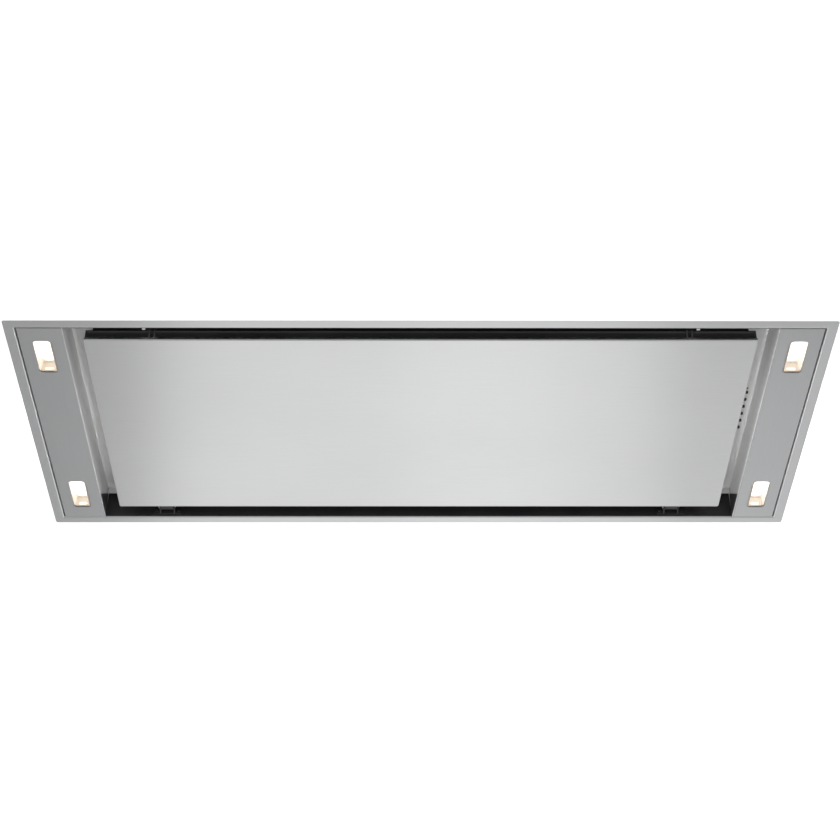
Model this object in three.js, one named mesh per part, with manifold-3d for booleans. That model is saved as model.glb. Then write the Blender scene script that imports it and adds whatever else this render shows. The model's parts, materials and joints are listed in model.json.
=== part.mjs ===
// Ceiling range hood with a perimeter-suction panel, in millimetres, +Z up.
// The origin is the centre of the visible underside: z = 0 is the face of the border and of the
// panel, +X runs along the hood, and the panel is hinged along its far edge, at +Y.

import * as THREE from 'three';
import { mergeVertices } from 'three/addons/utils/BufferGeometryUtils.js';
import Module from 'manifold-3d';

const wasm = await Module();
wasm.setup();

// ---------------------------------------------------------------- driving sizes

// Faces round a full turn, and round the corner of a bend
const fineTurn = 32;
const plainTurn = 24;
const smallTurn = 12;
const bendFaces = 2;

// Clearances
const seat = 0.3;                    // between pieces that rest on each other
const running = 0.12;                // round a pin or a shaft
const cutMargin = 1;                 // how far a cutter runs past what it cuts

// Ceiling frame: the visible border and its upstand
const plateLength = 1200;
const plateWidth = 500;
const borderWidth = 16;
const plateCornerRadius = 3.5;
const frameSheet = 1.2;
const frameBend = 0.9;
const upstandHeight = 18;

// Recess behind the panel
const recessDepth = 50;
const lightStripWidth = 68;
const linerSheet = 1;
const linerLedge = 12;
const channelSheet = 1;
const channelShoulder = 47;

// Suction panel
const sideSlot = 26.5;
const nearSlot = 25.5;
const farSlot = 29;
const panelSheet = 1;
const panelBend = 2.5;
const panelLip = 5;
const panelCornerRadius = 3;
const backSheet = 0.8;
const backHeight = 28;
const backEndHeight = 20;
const backEndLength = 10;
const ribWidth = 3;
const ribProud = 1.2;
const ribOffsets = [5.5, 13];          // from the catch towards the middle of the panel

// Panel hinges
const hingeOffset = 75;              // from the end of the panel to the middle of a hinge
const hingeAxisFromWall = 13;
const hingeAxisHeight = 14;
const hingePinRadius = 3;
const hingeEyeRadius = 7;
const hingeArmWidth = 20;
const hingeEarSheet = 2;
const hingePlateWidth = 45;
const hingePlateBottom = 4;
const hingePlateTop = 31;
const armFootWidth = 36;
const armFootSheet = 2;

// Magnetic catches
const catchOffset = 90;              // from the end of the panel to the middle of a catch
const catchSheet = 1.5;
const catchWidth = 24;
const catchTabWidth = 5;
const catchTabReach = 5.4;
const catchTabHeight = 3;
const magnetLength = 22;
const magnetWidth = 16;
const magnetHeight = 11;
const polePlate = 2;
const poleProud = 0.8;
const catchArmPastMagnet = 2;

// Light covers and lamps
const coverSheet = 1;
const coverBend = 0.8;
const coverFlange = 12;
const coverShadowGap = 2;
const lampLength = 70;
const lampWidth = 28;
const lampCornerRadius = 5;
const lampFromCoverEnd = 63;         // from the end of the cover to the middle of a lamp
const lampRim = 2;
const lampGlassThickness = 2;
const lampGlassRecess = 0.4;
const lampHousingHeight = 32;
const lampHousingWall = 1.5;
const reflectorTaper = 0.72;

// Filter deck and grease filters
const deckSheet = 1;
const deckEndMargin = 13;
const deckSideMargin = 44;
const deckWeb = 10;
const deckRibHeight = 5;
const deckRibWidth = 6;
const filterCount = 3;
const filterClearance = 1;
const filterThickness = 9;
const filterRail = 14;
const filterCornerRadius = 6;
const corePitch = 18;
const coreSheet = 1.2;
const coreInset = 1.3;
const tongueWidth = 22;
const tongueReach = 5;
const tongueSheet = 1.7;
const tongueFromEnd = 40;
const latchWidth = 43;
const latchLength = 20;
const latchTravel = 6;
const latchReach = 4;
const latchWall = 4;
const latchInset = 0.6;
const latchBoltWidth = 24;
const latchBoltSheet = 2.4;
const latchScoop = 10;

// Controls in the right channel
const buttonCount = 6;
const buttonPitch = 17.4;
const firstButtonY = -30;
const buttonRadius = 2.75;
const buttonProud = 2;
const buttonHeight = 10;
const buttonFlange = 1.2;
const buttonFlangeHeight = 1;
const buttonTravel = 1.2;
const controlsFromWall = 10.8;
const indicatorPitch = 9;
const indicatorRadius = 1.8;
const indicatorProud = 0.4;
const indicatorHeight = 6;
const moduleWidth = 17;
const moduleHeight = 20;
const moduleEnd = 14;
const moduleCorner = 2;

// Casing above the ceiling
const casingSheet = 1;
const casingTop = 110;
const blowerBoxLength = 430;
const blowerBoxWidth = 330;
const blowerBoxTop = 265;
const blowerBoxFlange = 15;

// Duct collar and its non-return flaps
const collarRadius = 75;
const collarWall = 1.2;
const collarHeight = 40;
const collarPlateWidth = 180;
const collarPlateCorner = 11;
const collarBeadHeight = 4;
const flapSeatWidth = 3;
const flapSeatHeight = 1;
const flapAxisHeight = 11;
const flapSheet = 1;
const flapPinRadius = 1.5;
const knuckleRadius = 3;
const knuckleCount = 5;
const knuckleLength = 24;
const flapRim = 0.8;

// Blower: scroll, wheel and motor
const wheelRadius = 68;
const wheelDepth = 12;
const wheelWidth = 100;
const bladeCount = 28;
const bladeSheet = 1.3;
const bladeLean = 0.2;
const wheelRing = 1.6;
const wheelDisc = 2;
const hubRadius = 12;
const hubLength = 22;
const shaftRadius = 5;
const shaftLength = 34;
const scrollGap = 7;
const scrollGrowth = 28;
const scrollStart = 70;              // degrees, where the tongue is
const scrollLowest = 270;            // degrees, straight down
const scrollStep = 14.5;             // degrees between the points of the spiral
const scrollWall = 1.5;
const scrollFlange = 6;
const scrollFlangeSheet = 1.6;
const scrollSideGap = 10;
const outletFlange = 18;             // carries the scroll under the top of its box
const scrollAboveFilters = 8;
const inletRadius = 52;
const inletLip = 6;
const motorRadius = 38;
const motorHubGap = 6;
const motorBellRadius = 27;
const motorBellHeight = 8;
const motorFinCount = 10;
const motorFinDepth = 2;
const motorFinWidth = 3;
const spiderSheet = 2.5;
const spiderArmWidth = 12;
const spiderInnerRadius = 14;
const spiderReach = 9;

// Hanging rails, terminal box and lamp driver
const railWidth = 40;
const railHeight = 26;
const railSheet = 2;
const railFlange = 12;
const railFromEnd = 150;
const railEndMargin = 20;
const railSlotWidth = 9;
const railSlotLength = 30;
const railSlotFromEnd = 35;
const terminalBoxLength = 100;
const terminalBoxWidth = 70;
const terminalBoxHeight = 34;
const terminalBoxLid = 8;
const terminalBoxCorner = 6;
const terminalLidProud = 2;
const glandRadius = 10;
const glandBore = 4;
const glandLength = 24;
const driverLength = 96;
const driverWidth = 42;
const driverHeight = 28;
const driverCorner = 3;
const driverEar = 12;
const fittingGap = 3;                // from the flange of the blower box to what stands beside it
const fittingInset = 55;             // from the far end of that flange's side to their middle

// ---------------------------------------------------------------- derived places

const openingX = plateLength / 2 - borderWidth;      // half length of the frame's opening
const openingY = plateWidth / 2 - borderWidth;
const channelX = openingX - lightStripWidth;         // inner face of the side channel
const panelX = channelX - sideSlot;                  // half length of the panel
const panelNear = -openingY + nearSlot;
const panelFar = openingY - farSlot;
const linerOuter = openingY - seat;
const linerInner = linerOuter - linerSheet;
const fittingFace = linerInner - seat;               // what is fixed to a liner starts here
const shoulderInner = channelX + channelSheet - channelShoulder;
const deckX = shoulderInner - seat;
const deckY = linerInner - seat;
const deckTop = recessDepth + deckSheet;
const filterTop = recessDepth + filterThickness;

const backX = panelX - panelSheet - seat;
const backNear = panelNear + panelSheet + seat;
const backFar = panelFar - panelSheet - seat;
const backBottom = panelBend + seat;
const backCorner = panelCornerRadius - panelSheet - seat;

const hingeX = panelX - hingeOffset;
const hingeY = openingY - hingeAxisFromWall;
const catchX = panelX - catchOffset;

const filterPitch = (2 * (deckX - deckEndMargin) + deckWeb) / filterCount;
const filterLength = filterPitch - deckWeb - 2 * filterClearance;
const filterNear = -(deckY - deckSideMargin) + filterClearance;
const filterFar = deckY - deckSideMargin - filterClearance;

const controlsX = channelX - controlsFromWall;
const indicatorY = firstButtonY - indicatorPitch;

const wheelHalf = wheelWidth / 2;
const scrollHalf = wheelHalf + scrollSideGap;
const scrollInnerRadius = wheelRadius + scrollGap;
const scrollOuterRadius = scrollInnerRadius + scrollGrowth;
const tongueY = scrollInnerRadius * Math.cos(THREE.MathUtils.degToRad(scrollStart));
const tongueZ = scrollInnerRadius * Math.sin(THREE.MathUtils.degToRad(scrollStart));
const wheelY = -(tongueY + scrollOuterRadius) / 2;   // puts the outlet under the collar
const wheelZ = filterTop + scrollAboveFilters + scrollRadius(scrollLowest) + scrollFlange;
const outletTop = blowerBoxTop - casingSheet - seat;

const collarBottom = blowerBoxTop + seat;
const collarTop = collarBottom + collarHeight;
const flapZ = collarBottom + flapAxisHeight;

const fittingSide = blowerBoxLength / 2 + blowerBoxFlange + fittingGap;
const fittingY = blowerBoxWidth / 2 - fittingInset;
const terminalBoxX = -(fittingSide + terminalBoxLength / 2);
const driverX = fittingSide + driverEar + driverLength / 2;

// ---------------------------------------------------------------- materials

const finishes = {
  brushedSteel: { color: 0xb9babb, roughness: 0.32, metalness: 1 },
  blackSteel: { color: 0x1b1c1e, roughness: 0.5, metalness: 0.4 },
  galvanised: { color: 0xa3a8ab, roughness: 0.45, metalness: 0.9 },
  bareSteel: { color: 0x9b9da0, roughness: 0.35, metalness: 1 },
  aluminium: { color: 0xc2c4c6, roughness: 0.4, metalness: 1 },
  blackPlastic: { color: 0x18191b, roughness: 0.45, metalness: 0 },
  greyPlastic: { color: 0x8d9092, roughness: 0.55, metalness: 0 },
  whiteGlass: { color: 0xfdfbf4, roughness: 0.12, metalness: 0 },
  reflector: { color: 0xe6e0d2, roughness: 0.2, metalness: 0.9 },
  ferrite: { color: 0x303236, roughness: 0.7, metalness: 0.3 },
  lens: { color: 0x34110e, roughness: 0.15, metalness: 0 },
};

function finish(name) {
  return new THREE.MeshStandardMaterial({ name, ...finishes[name] });
}

// ---------------------------------------------------------------- solids

// A closed geometry as a solid that can be joined and cut.
function solid(geometry) {
  const bare = geometry.clone();
  bare.deleteAttribute('normal');
  bare.deleteAttribute('uv');
  const merged = mergeVertices(bare, 1e-4);
  const mesh = new wasm.Mesh({
    numProp: 3,
    vertProperties: new Float32Array(merged.attributes.position.array),
    triVerts: new Uint32Array(merged.index.array),
  });
  return new wasm.Manifold(mesh);
}

function toGeometry(body) {
  const mesh = body.getMesh();
  const geometry = new THREE.BufferGeometry();
  geometry.setAttribute('position', new THREE.BufferAttribute(new Float32Array(mesh.vertProperties), 3));
  geometry.setIndex(new THREE.BufferAttribute(new Uint32Array(mesh.triVerts), 1));
  geometry.computeVertexNormals();
  return geometry;
}

function piece(name, body, finishName) {
  const mesh = new THREE.Mesh(toGeometry(body), finish(finishName));
  mesh.name = name;
  return mesh;
}

function joined(bodies) {
  return bodies.reduce((sum, body) => sum.add(body));
}

function rectangle(xLow, xHigh, yLow, yHigh) {
  return polygon([[xLow, yLow], [xHigh, yLow], [xHigh, yHigh], [xLow, yHigh]]);
}

function roundedRectangle(xLow, xHigh, yLow, yHigh, radius) {
  const shape = new THREE.Shape();
  shape.absarc(xHigh - radius, yLow + radius, radius, -Math.PI / 2, 0);
  shape.absarc(xHigh - radius, yHigh - radius, radius, 0, Math.PI / 2);
  shape.absarc(xLow + radius, yHigh - radius, radius, Math.PI / 2, Math.PI);
  shape.absarc(xLow + radius, yLow + radius, radius, Math.PI, 1.5 * Math.PI);
  shape.closePath();
  return shape;
}

function circle(x, y, radius) {
  const shape = new THREE.Shape();
  shape.absarc(x, y, radius, 0, 2 * Math.PI);
  return shape;
}

function polygon(points) {
  return new THREE.Shape(points.map(([x, y]) => new THREE.Vector2(x, y)));
}

function extrusion(shape, depth, curveSegments) {
  return new THREE.ExtrudeGeometry(shape, { depth, bevelEnabled: false, curveSegments });
}

// The shape lies in XY and rises from one height to another.
function upright(shape, bottom, top, curveSegments = bendFaces) {
  return solid(extrusion(shape, top - bottom, curveSegments).translate(0, 0, bottom));
}

// The shape lies in YZ and runs along X.
function alongX(shape, from, to, curveSegments = bendFaces) {
  const turn = new THREE.Matrix4().makeBasis(
    new THREE.Vector3(0, 1, 0), new THREE.Vector3(0, 0, 1), new THREE.Vector3(1, 0, 0));
  return solid(extrusion(shape, to - from, curveSegments).applyMatrix4(turn).translate(from, 0, 0));
}

// The shape lies in XZ and runs along Y.
function alongY(shape, from, to, curveSegments = bendFaces) {
  const turn = new THREE.Matrix4().makeBasis(
    new THREE.Vector3(1, 0, 0), new THREE.Vector3(0, 0, 1), new THREE.Vector3(0, -1, 0));
  return solid(extrusion(shape, to - from, curveSegments).applyMatrix4(turn).translate(0, to, 0));
}

function block(xLow, xHigh, yLow, yHigh, zLow, zHigh) {
  const box = new THREE.BoxGeometry(xHigh - xLow, yHigh - yLow, zHigh - zLow);
  return solid(box.translate((xLow + xHigh) / 2, (yLow + yHigh) / 2, (zLow + zHigh) / 2));
}

// A sheet whose lower edges, round the outside and round its holes, are bent up on a radius.
function bentSheet(shape, bottom, top, radius) {
  const geometry = new THREE.ExtrudeGeometry(shape, {
    depth: top - bottom,
    bevelEnabled: true,
    bevelThickness: radius,
    bevelSize: radius,
    bevelOffset: -radius,
    bevelSegments: bendFaces,
    curveSegments: bendFaces,
  });
  const round = solid(geometry.translate(0, 0, bottom + radius));
  const reach = plateLength;
  return round.subtract(block(-reach, reach, -reach, reach, top, top + reach));
}

// A shape that narrows from its full size to a share of it as it rises.
function tapered(shape, centre, bottom, top, share) {
  const geometry = extrusion(shape, top - bottom, bendFaces).translate(-centre.x, -centre.y, 0);
  const position = geometry.attributes.position;
  for (let i = 0; i < position.count; i += 1) {
    const scale = 1 - (1 - share) * position.getZ(i) / (top - bottom);
    position.setXY(i, position.getX(i) * scale, position.getY(i) * scale);
  }
  return solid(geometry.translate(centre.x, centre.y, bottom));
}

// Points are [radius, height] pairs of a closed profile; the axis is vertical.
function turned(points, segments) {
  const profile = points.map(([radius, height]) => new THREE.Vector2(radius, height));
  if (THREE.ShapeUtils.area(profile) < 0) {
    profile.reverse();
  }
  profile.push(profile[0].clone());
  return new THREE.LatheGeometry(profile, segments).rotateX(Math.PI / 2);
}

function turnedAt(points, x, y, segments = smallTurn) {
  return solid(turned(points, segments).translate(x, y, 0));
}

// The axis runs along X through the given Y and Z, and heights are places along X.
function turnedAlongX(points, y, z, segments = smallTurn) {
  return solid(turned(points, segments).rotateY(Math.PI / 2).translate(0, y, z));
}

function disc(radius, from, to) {
  return [[0, from], [radius, from], [radius, to], [0, to]];
}

function washer(inner, outer, from, to) {
  return [[inner, from], [outer, from], [outer, to], [inner, to]];
}

// ---------------------------------------------------------------- frame and casing

function ceilingFrame() {
  const border = roundedRectangle(
    -plateLength / 2, plateLength / 2, -plateWidth / 2, plateWidth / 2, plateCornerRadius);
  border.holes.push(rectangle(-openingX, openingX, -openingY, openingY));
  const upstand = rectangle(
    -openingX - frameSheet, openingX + frameSheet, -openingY - frameSheet, openingY + frameSheet);
  upstand.holes.push(rectangle(-openingX, openingX, -openingY, openingY));
  return piece('ceiling_frame', joined([
    bentSheet(border, 0, frameSheet, frameBend),
    upright(upstand, frameBend, upstandHeight),
  ]), 'brushedSteel');
}

// The casing stands in line on the frame's upstand and opens into the blower box.
function bodyShell() {
  const outerX = openingX + frameSheet;
  const outerY = openingY + frameSheet;
  const innerX = outerX - casingSheet;
  const innerY = outerY - casingSheet;
  const bottom = upstandHeight + seat;
  const throatX = blowerBoxLength / 2 - casingSheet;
  const throatY = blowerBoxWidth / 2 - casingSheet;
  const casing = block(-outerX, outerX, -outerY, outerY, bottom, casingTop)
    .subtract(block(-innerX, innerX, -innerY, innerY, bottom - cutMargin, casingTop - casingSheet))
    .subtract(block(-throatX, throatX, -throatY, throatY, bottom, casingTop + cutMargin));
  return piece('body_shell', casing, 'galvanised');
}

function blowerBox() {
  const bottom = casingTop + seat;
  const outerX = blowerBoxLength / 2;
  const outerY = blowerBoxWidth / 2;
  const box = joined([
    block(-outerX, outerX, -outerY, outerY, bottom, blowerBoxTop),
    block(-outerX - blowerBoxFlange, outerX + blowerBoxFlange,
      -outerY - blowerBoxFlange, outerY + blowerBoxFlange, bottom, bottom + casingSheet),
  ])
    .subtract(block(-outerX + casingSheet, outerX - casingSheet, -outerY + casingSheet,
      outerY - casingSheet, bottom - cutMargin, blowerBoxTop - casingSheet))
    .subtract(turnedAt(disc(collarRadius - collarWall, bottom, blowerBoxTop + cutMargin), 0, 0, fineTurn));
  return piece('blower_box', box, 'galvanised');
}

// ---------------------------------------------------------------- recess

function recessLiner(name, side) {
  const top = recessDepth - seat;
  const profile = polygon([
    [linerOuter, frameSheet], [linerOuter, top], [linerInner - linerLedge, top],
    [linerInner - linerLedge, top - linerSheet], [linerInner, top - linerSheet],
    [linerInner, frameSheet],
  ].map(([y, z]) => [side * y, z]));
  return piece(name, alongX(profile, -channelX + seat, channelX - seat), 'blackSteel');
}

function channelLiner(name, side, holes) {
  const outer = channelX + channelSheet;
  const profile = polygon([
    [channelX, 0], [outer, 0], [outer, deckTop], [shoulderInner, deckTop],
    [shoulderInner, recessDepth], [channelX, recessDepth],
  ].map(([x, z]) => [side * x, z]));
  const liner = alongY(profile, -linerOuter, linerOuter);
  return piece(name, holes.reduce((body, hole) => body.subtract(hole), liner), 'brushedSteel');
}

function controlHoles() {
  const bottom = recessDepth - cutMargin;
  const top = deckTop + cutMargin;
  const holes = buttonPlaces().map(
    (y) => turnedAt(disc(buttonRadius + seat, bottom, top), controlsX, y));
  holes.push(turnedAt(disc(indicatorRadius + seat, bottom, top), controlsX, indicatorY));
  return holes;
}

function buttonPlaces() {
  return Array.from({ length: buttonCount }, (_, i) => firstButtonY + i * buttonPitch);
}

// ---------------------------------------------------------------- light strips

function lampPlaces() {
  const x = (channelX + channelSheet + openingX - coverShadowGap + seat) / 2;
  const y = linerOuter - lampFromCoverEnd;
  return [['near_left', -x, -y], ['far_left', -x, y], ['near_right', x, -y], ['far_right', x, y]];
}

function lampShape(x, y, grow) {
  return roundedRectangle(
    x - lampWidth / 2 - grow, x + lampWidth / 2 + grow,
    y - lampLength / 2 - grow, y + lampLength / 2 + grow, lampCornerRadius + grow);
}

function lightCover(name, side) {
  const inner = channelX + channelSheet + seat;
  const outer = openingX - coverShadowGap;
  const low = Math.min(side * inner, side * outer);
  const high = Math.max(side * inner, side * outer);
  const skin = rectangle(low, high, -linerOuter, linerOuter);
  const lamps = lampPlaces().filter(([, x]) => Math.sign(x) === side);
  skin.holes.push(...lamps.map(([, x, y]) => lampShape(x, y, seat)));
  const pan = bentSheet(skin, 0, coverFlange, coverBend);
  const inside = block(low + coverSheet, high - coverSheet,
    -linerOuter + coverSheet, linerOuter - coverSheet, coverSheet, coverFlange + cutMargin);
  return piece(name, pan.subtract(inside), 'brushedSteel');
}

function lamp([place, x, y]) {
  const rimBottom = coverSheet + seat;
  const rimTop = rimBottom + lampGlassThickness;
  const glass = joined([
    upright(lampShape(x, y, 0), lampGlassRecess, rimTop),
    upright(lampShape(x, y, lampRim), rimBottom, rimTop),
  ]);
  const housingBottom = rimTop + seat;
  const housingTop = housingBottom + lampHousingHeight;
  const reflector = tapered(lampShape(x, y, 0), { x, y },
    housingBottom - cutMargin, housingTop - lampHousingWall, reflectorTaper);
  const can = upright(lampShape(x, y, lampRim + lampHousingWall), housingBottom, housingTop);
  return [
    piece(`lamp_glass_${place}`, glass, 'whiteGlass'),
    piece(`lamp_housing_${place}`, can.subtract(reflector), 'reflector'),
  ];
}

// ---------------------------------------------------------------- suction panel

function suctionPanel() {
  const outline = roundedRectangle(-panelX, panelX, panelNear, panelFar, panelCornerRadius);
  const hollow = roundedRectangle(-panelX + panelSheet, panelX - panelSheet,
    panelNear + panelSheet, panelFar - panelSheet, panelCornerRadius - panelSheet);
  const skin = bentSheet(outline, 0, panelLip, panelBend)
    .subtract(bentSheet(hollow, panelSheet, panelLip + cutMargin, panelBend - panelSheet));
  return piece('suction_panel', skin, 'brushedSteel');
}

// Closed back of the panel: an inverted tray, lower over its two ends.
function panelBack() {
  const layer = (inset, bottom, top, ends) => upright(roundedRectangle(
    -backX + ends + inset, backX - ends - inset, backNear + inset, backFar - inset,
    backCorner - inset), bottom, top);
  const tray = (inset, bottom) => joined([
    layer(inset, bottom, backEndHeight - inset, 0),
    layer(inset, bottom, backHeight - inset, backEndLength),
  ]);
  const ribs = [-1, 1].flatMap((side) => ribOffsets.map((offset) => {
    const x = side * (catchX - offset);
    return block(x - ribWidth / 2, x + ribWidth / 2, backNear - ribProud, backNear + backSheet,
      panelLip + seat, backHeight - backSheet);
  }));
  const hollow = tray(backSheet, backBottom - cutMargin);
  return piece('panel_back', joined([tray(0, backBottom).subtract(hollow), ...ribs]), 'blackSteel');
}

// ---------------------------------------------------------------- panel hinges

function hinge(side, place) {
  const x = side * hingeX;
  const bore = disc(hingePinRadius + running, x - hingePlateWidth, x + hingePlateWidth);
  const drill = turnedAlongX(bore, hingeY, hingeAxisHeight);
  const earInner = hingeArmWidth / 2 + seat;
  const earOuter = earInner + hingeEarSheet;

  const ear = joined([
    turnedAlongX(disc(hingeEyeRadius, x - earOuter, x + earOuter), hingeY, hingeAxisHeight),
    alongX(polygon([
      [hingeY, hingeAxisHeight - hingeEyeRadius], [fittingFace - hingeEarSheet, hingePlateBottom],
      [fittingFace, hingePlateBottom], [fittingFace, hingePlateTop],
      [fittingFace - hingeEarSheet, hingePlateTop], [hingeY, hingeAxisHeight + hingeEyeRadius],
    ]), x - earOuter, x + earOuter),
  ]).subtract(block(x - earInner, x + earInner, hingeY - hingeArmWidth,
    fittingFace - hingeEarSheet, hingePlateBottom - cutMargin, hingePlateTop + cutMargin));
  const bracket = joined([ear, block(x - hingePlateWidth / 2, x + hingePlateWidth / 2,
    fittingFace - hingeEarSheet, fittingFace, hingePlateBottom, hingePlateTop)]).subtract(drill);

  const footNear = backFar + seat;
  const footFar = footNear + armFootSheet;
  const arm = joined([
    turnedAlongX(disc(hingeEyeRadius, x - hingeArmWidth / 2, x + hingeArmWidth / 2),
      hingeY, hingeAxisHeight),
    block(x - armFootWidth / 2, x + armFootWidth / 2, footNear, footFar,
      panelLip + cutMargin, backHeight - backSheet),
    alongX(polygon([
      [footNear, hingeAxisHeight - hingeEyeRadius], [hingeY, hingeAxisHeight - hingeEyeRadius],
      [hingeY, hingeAxisHeight], [footNear, hingeAxisHeight + hingeEyeRadius],
    ]), x - hingeArmWidth / 2, x + hingeArmWidth / 2),
  ]).subtract(drill);

  const head = hingePinRadius + hingeEarSheet;
  const pin = turnedAlongX([
    [0, x - earOuter - hingeEarSheet], [head, x - earOuter - hingeEarSheet],
    [head, x - earOuter - seat], [hingePinRadius, x - earOuter - seat],
    [hingePinRadius, x + earOuter + hingeEarSheet], [0, x + earOuter + hingeEarSheet],
  ], hingeY, hingeAxisHeight);

  return [
    piece(`hinge_bracket_${place}`, bracket, 'blackSteel'),
    piece(`hinge_arm_${place}`, arm, 'blackSteel'),
    piece(`hinge_pin_${place}`, pin, 'bareSteel'),
  ];
}

// ---------------------------------------------------------------- magnetic catches

function magneticCatch(side, place) {
  const x = side * catchX;
  const magnetBottom = backHeight + seat;
  const magnetTop = magnetBottom + magnetHeight;
  const armBottom = magnetTop + seat;
  const magnetNear = backNear + backSheet;
  const magnetFar = magnetNear + magnetWidth;
  const leg = alongX(polygon([
    [-fittingFace, catchTabHeight], [-fittingFace + catchSheet, catchTabHeight],
    [-fittingFace + catchSheet, armBottom], [magnetFar + catchArmPastMagnet, armBottom],
    [magnetFar + catchArmPastMagnet, armBottom + catchSheet],
    [-fittingFace, armBottom + catchSheet],
  ]), x - catchWidth / 2, x + catchWidth / 2);
  const tab = block(x - catchTabWidth / 2, x + catchTabWidth / 2,
    -fittingFace, -fittingFace + catchTabReach, catchTabHeight, catchTabHeight + catchSheet);
  const poles = [-1, 1].map((end) => {
    const middle = (magnetNear + magnetFar) / 2 + end * (magnetWidth - polePlate) / 2;
    return block(x - magnetLength / 2, x + magnetLength / 2,
      middle - polePlate / 2, middle + polePlate / 2, magnetBottom, magnetTop);
  });
  const magnet = block(x - magnetLength / 2, x + magnetLength / 2,
    magnetNear, magnetFar, magnetBottom + poleProud, magnetTop);
  return [
    piece(`catch_bracket_${place}`, joined([leg, tab]), 'bareSteel'),
    piece(`catch_magnet_${place}`, joined([magnet, ...poles]), 'ferrite'),
  ];
}

// ---------------------------------------------------------------- filter deck and filters

function filterPlaces() {
  return Array.from({ length: filterCount }, (_, i) => (i - (filterCount - 1) / 2) * filterPitch);
}

function filterDeck() {
  const plate = rectangle(-deckX, deckX, -deckY, deckY);
  plate.holes.push(...filterPlaces().map((x) => roundedRectangle(
    x - filterLength / 2 - filterClearance, x + filterLength / 2 + filterClearance,
    filterNear - filterClearance, filterFar + filterClearance,
    filterCornerRadius + filterClearance)));
  const between = filterPlaces().slice(1).map((x) => x - filterPitch / 2);
  const ribs = between.map((x) => block(x - deckRibWidth / 2, x + deckRibWidth / 2,
    filterNear, filterFar, recessDepth, deckTop + deckRibHeight));
  return piece('filter_deck', joined([upright(plate, recessDepth, deckTop), ...ribs]),
    'blackSteel');
}

// Zigzag sheet, in XZ, that fills a filter's window.
function coreProfile(low, high) {
  const folds = 2 * Math.round((high - low) / corePitch);
  const bottom = recessDepth + coreInset;
  const top = filterTop - coreInset - coreSheet;
  const lower = Array.from({ length: folds + 1 }, (_, i) => [
    low + (high - low) * i / folds, i % 2 ? top : bottom]);
  const upper = lower.map(([x, z]) => [x, z + coreSheet]).reverse();
  return polygon([...lower, ...upper]);
}

function greaseFilter(x, index) {
  const low = x - filterLength / 2;
  const high = x + filterLength / 2;
  const outline = roundedRectangle(low, high, filterNear, filterFar, filterCornerRadius);
  outline.holes.push(rectangle(low + filterRail, high - filterRail,
    filterNear + filterRail, filterFar - filterRail));
  const overlap = filterRail / 2;
  const core = alongY(coreProfile(low + overlap, high - overlap),
    filterNear + overlap, filterFar - overlap);
  const tongueBottom = deckTop + seat;
  const tongues = [low + tongueFromEnd, high - tongueFromEnd].map((middle) => block(
    middle - tongueWidth / 2, middle + tongueWidth / 2, filterFar - cutMargin,
    filterFar + filterClearance + tongueReach, tongueBottom, tongueBottom + tongueSheet));

  const pocketNear = filterNear + latchWall;
  const pocketFar = pocketNear + latchLength + latchTravel + 2 * seat;
  const pocketHalf = latchWidth / 2 + seat;
  const boss = block(x - pocketHalf - latchWall, x + pocketHalf + latchWall,
    filterNear, pocketFar + latchWall, recessDepth, filterTop);
  const pocket = block(x - pocketHalf, x + pocketHalf, pocketNear, pocketFar,
    recessDepth - cutMargin, filterTop + cutMargin);
  const boltBottom = deckTop + seat;
  const boltTop = boltBottom + latchBoltSheet;
  const boltWay = block(x - latchBoltWidth / 2 - seat, x + latchBoltWidth / 2 + seat,
    filterNear - cutMargin, pocketNear + cutMargin, boltBottom - seat, boltTop + seat);
  const frame = joined([upright(outline, recessDepth, filterTop), core, boss, ...tongues])
    .subtract(pocket).subtract(boltWay);

  const slideNear = pocketNear + seat;
  const slideFar = slideNear + latchLength;
  const slideBottom = recessDepth + latchInset;
  const slider = joined([
    block(x - latchWidth / 2, x + latchWidth / 2, slideNear, slideFar,
      slideBottom, filterTop - latchInset),
    block(x - latchBoltWidth / 2, x + latchBoltWidth / 2,
      filterNear - filterClearance - latchReach, slideNear + cutMargin, boltBottom, boltTop),
  ]).subtract(alongX(polygon([
    [slideNear + latchWall, slideBottom - cutMargin], [slideFar - latchWall, slideBottom - cutMargin],
    [slideFar - latchWall, filterTop - latchWall],
    [slideNear + latchScoop, filterTop - latchWall],
  ]), x - latchWidth / 2 + latchWall, x + latchWidth / 2 - latchWall));

  return [
    piece(`grease_filter_${index + 1}`, frame, 'aluminium'),
    piece(`filter_latch_${index + 1}`, slider, 'blackPlastic'),
  ];
}

// ---------------------------------------------------------------- controls

function button(y, index) {
  const bottom = recessDepth - buttonProud;
  const flangeBottom = deckTop + seat;
  const crown = buttonRadius * 0.8;
  const profile = [
    [0, bottom], [crown, bottom], [buttonRadius, bottom + buttonRadius - crown],
    [buttonRadius, flangeBottom], [buttonRadius + buttonFlange, flangeBottom],
    [buttonRadius + buttonFlange, flangeBottom + buttonFlangeHeight],
    [buttonRadius, flangeBottom + buttonFlangeHeight], [buttonRadius, bottom + buttonHeight],
    [0, bottom + buttonHeight],
  ];
  return piece(`button_${index + 1}`, turnedAt(profile, controlsX, y), 'blackPlastic');
}

function indicatorLens() {
  const bottom = recessDepth - indicatorProud;
  const flangeBottom = deckTop + seat;
  return piece('indicator_lens', turnedAt([
    [0, bottom], [indicatorRadius * 0.8, bottom], [indicatorRadius, bottom + indicatorProud],
    [indicatorRadius, flangeBottom], [indicatorRadius + buttonFlange, flangeBottom],
    [indicatorRadius + buttonFlange, bottom + indicatorHeight], [0, bottom + indicatorHeight],
  ], controlsX, indicatorY), 'lens');
}

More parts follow.
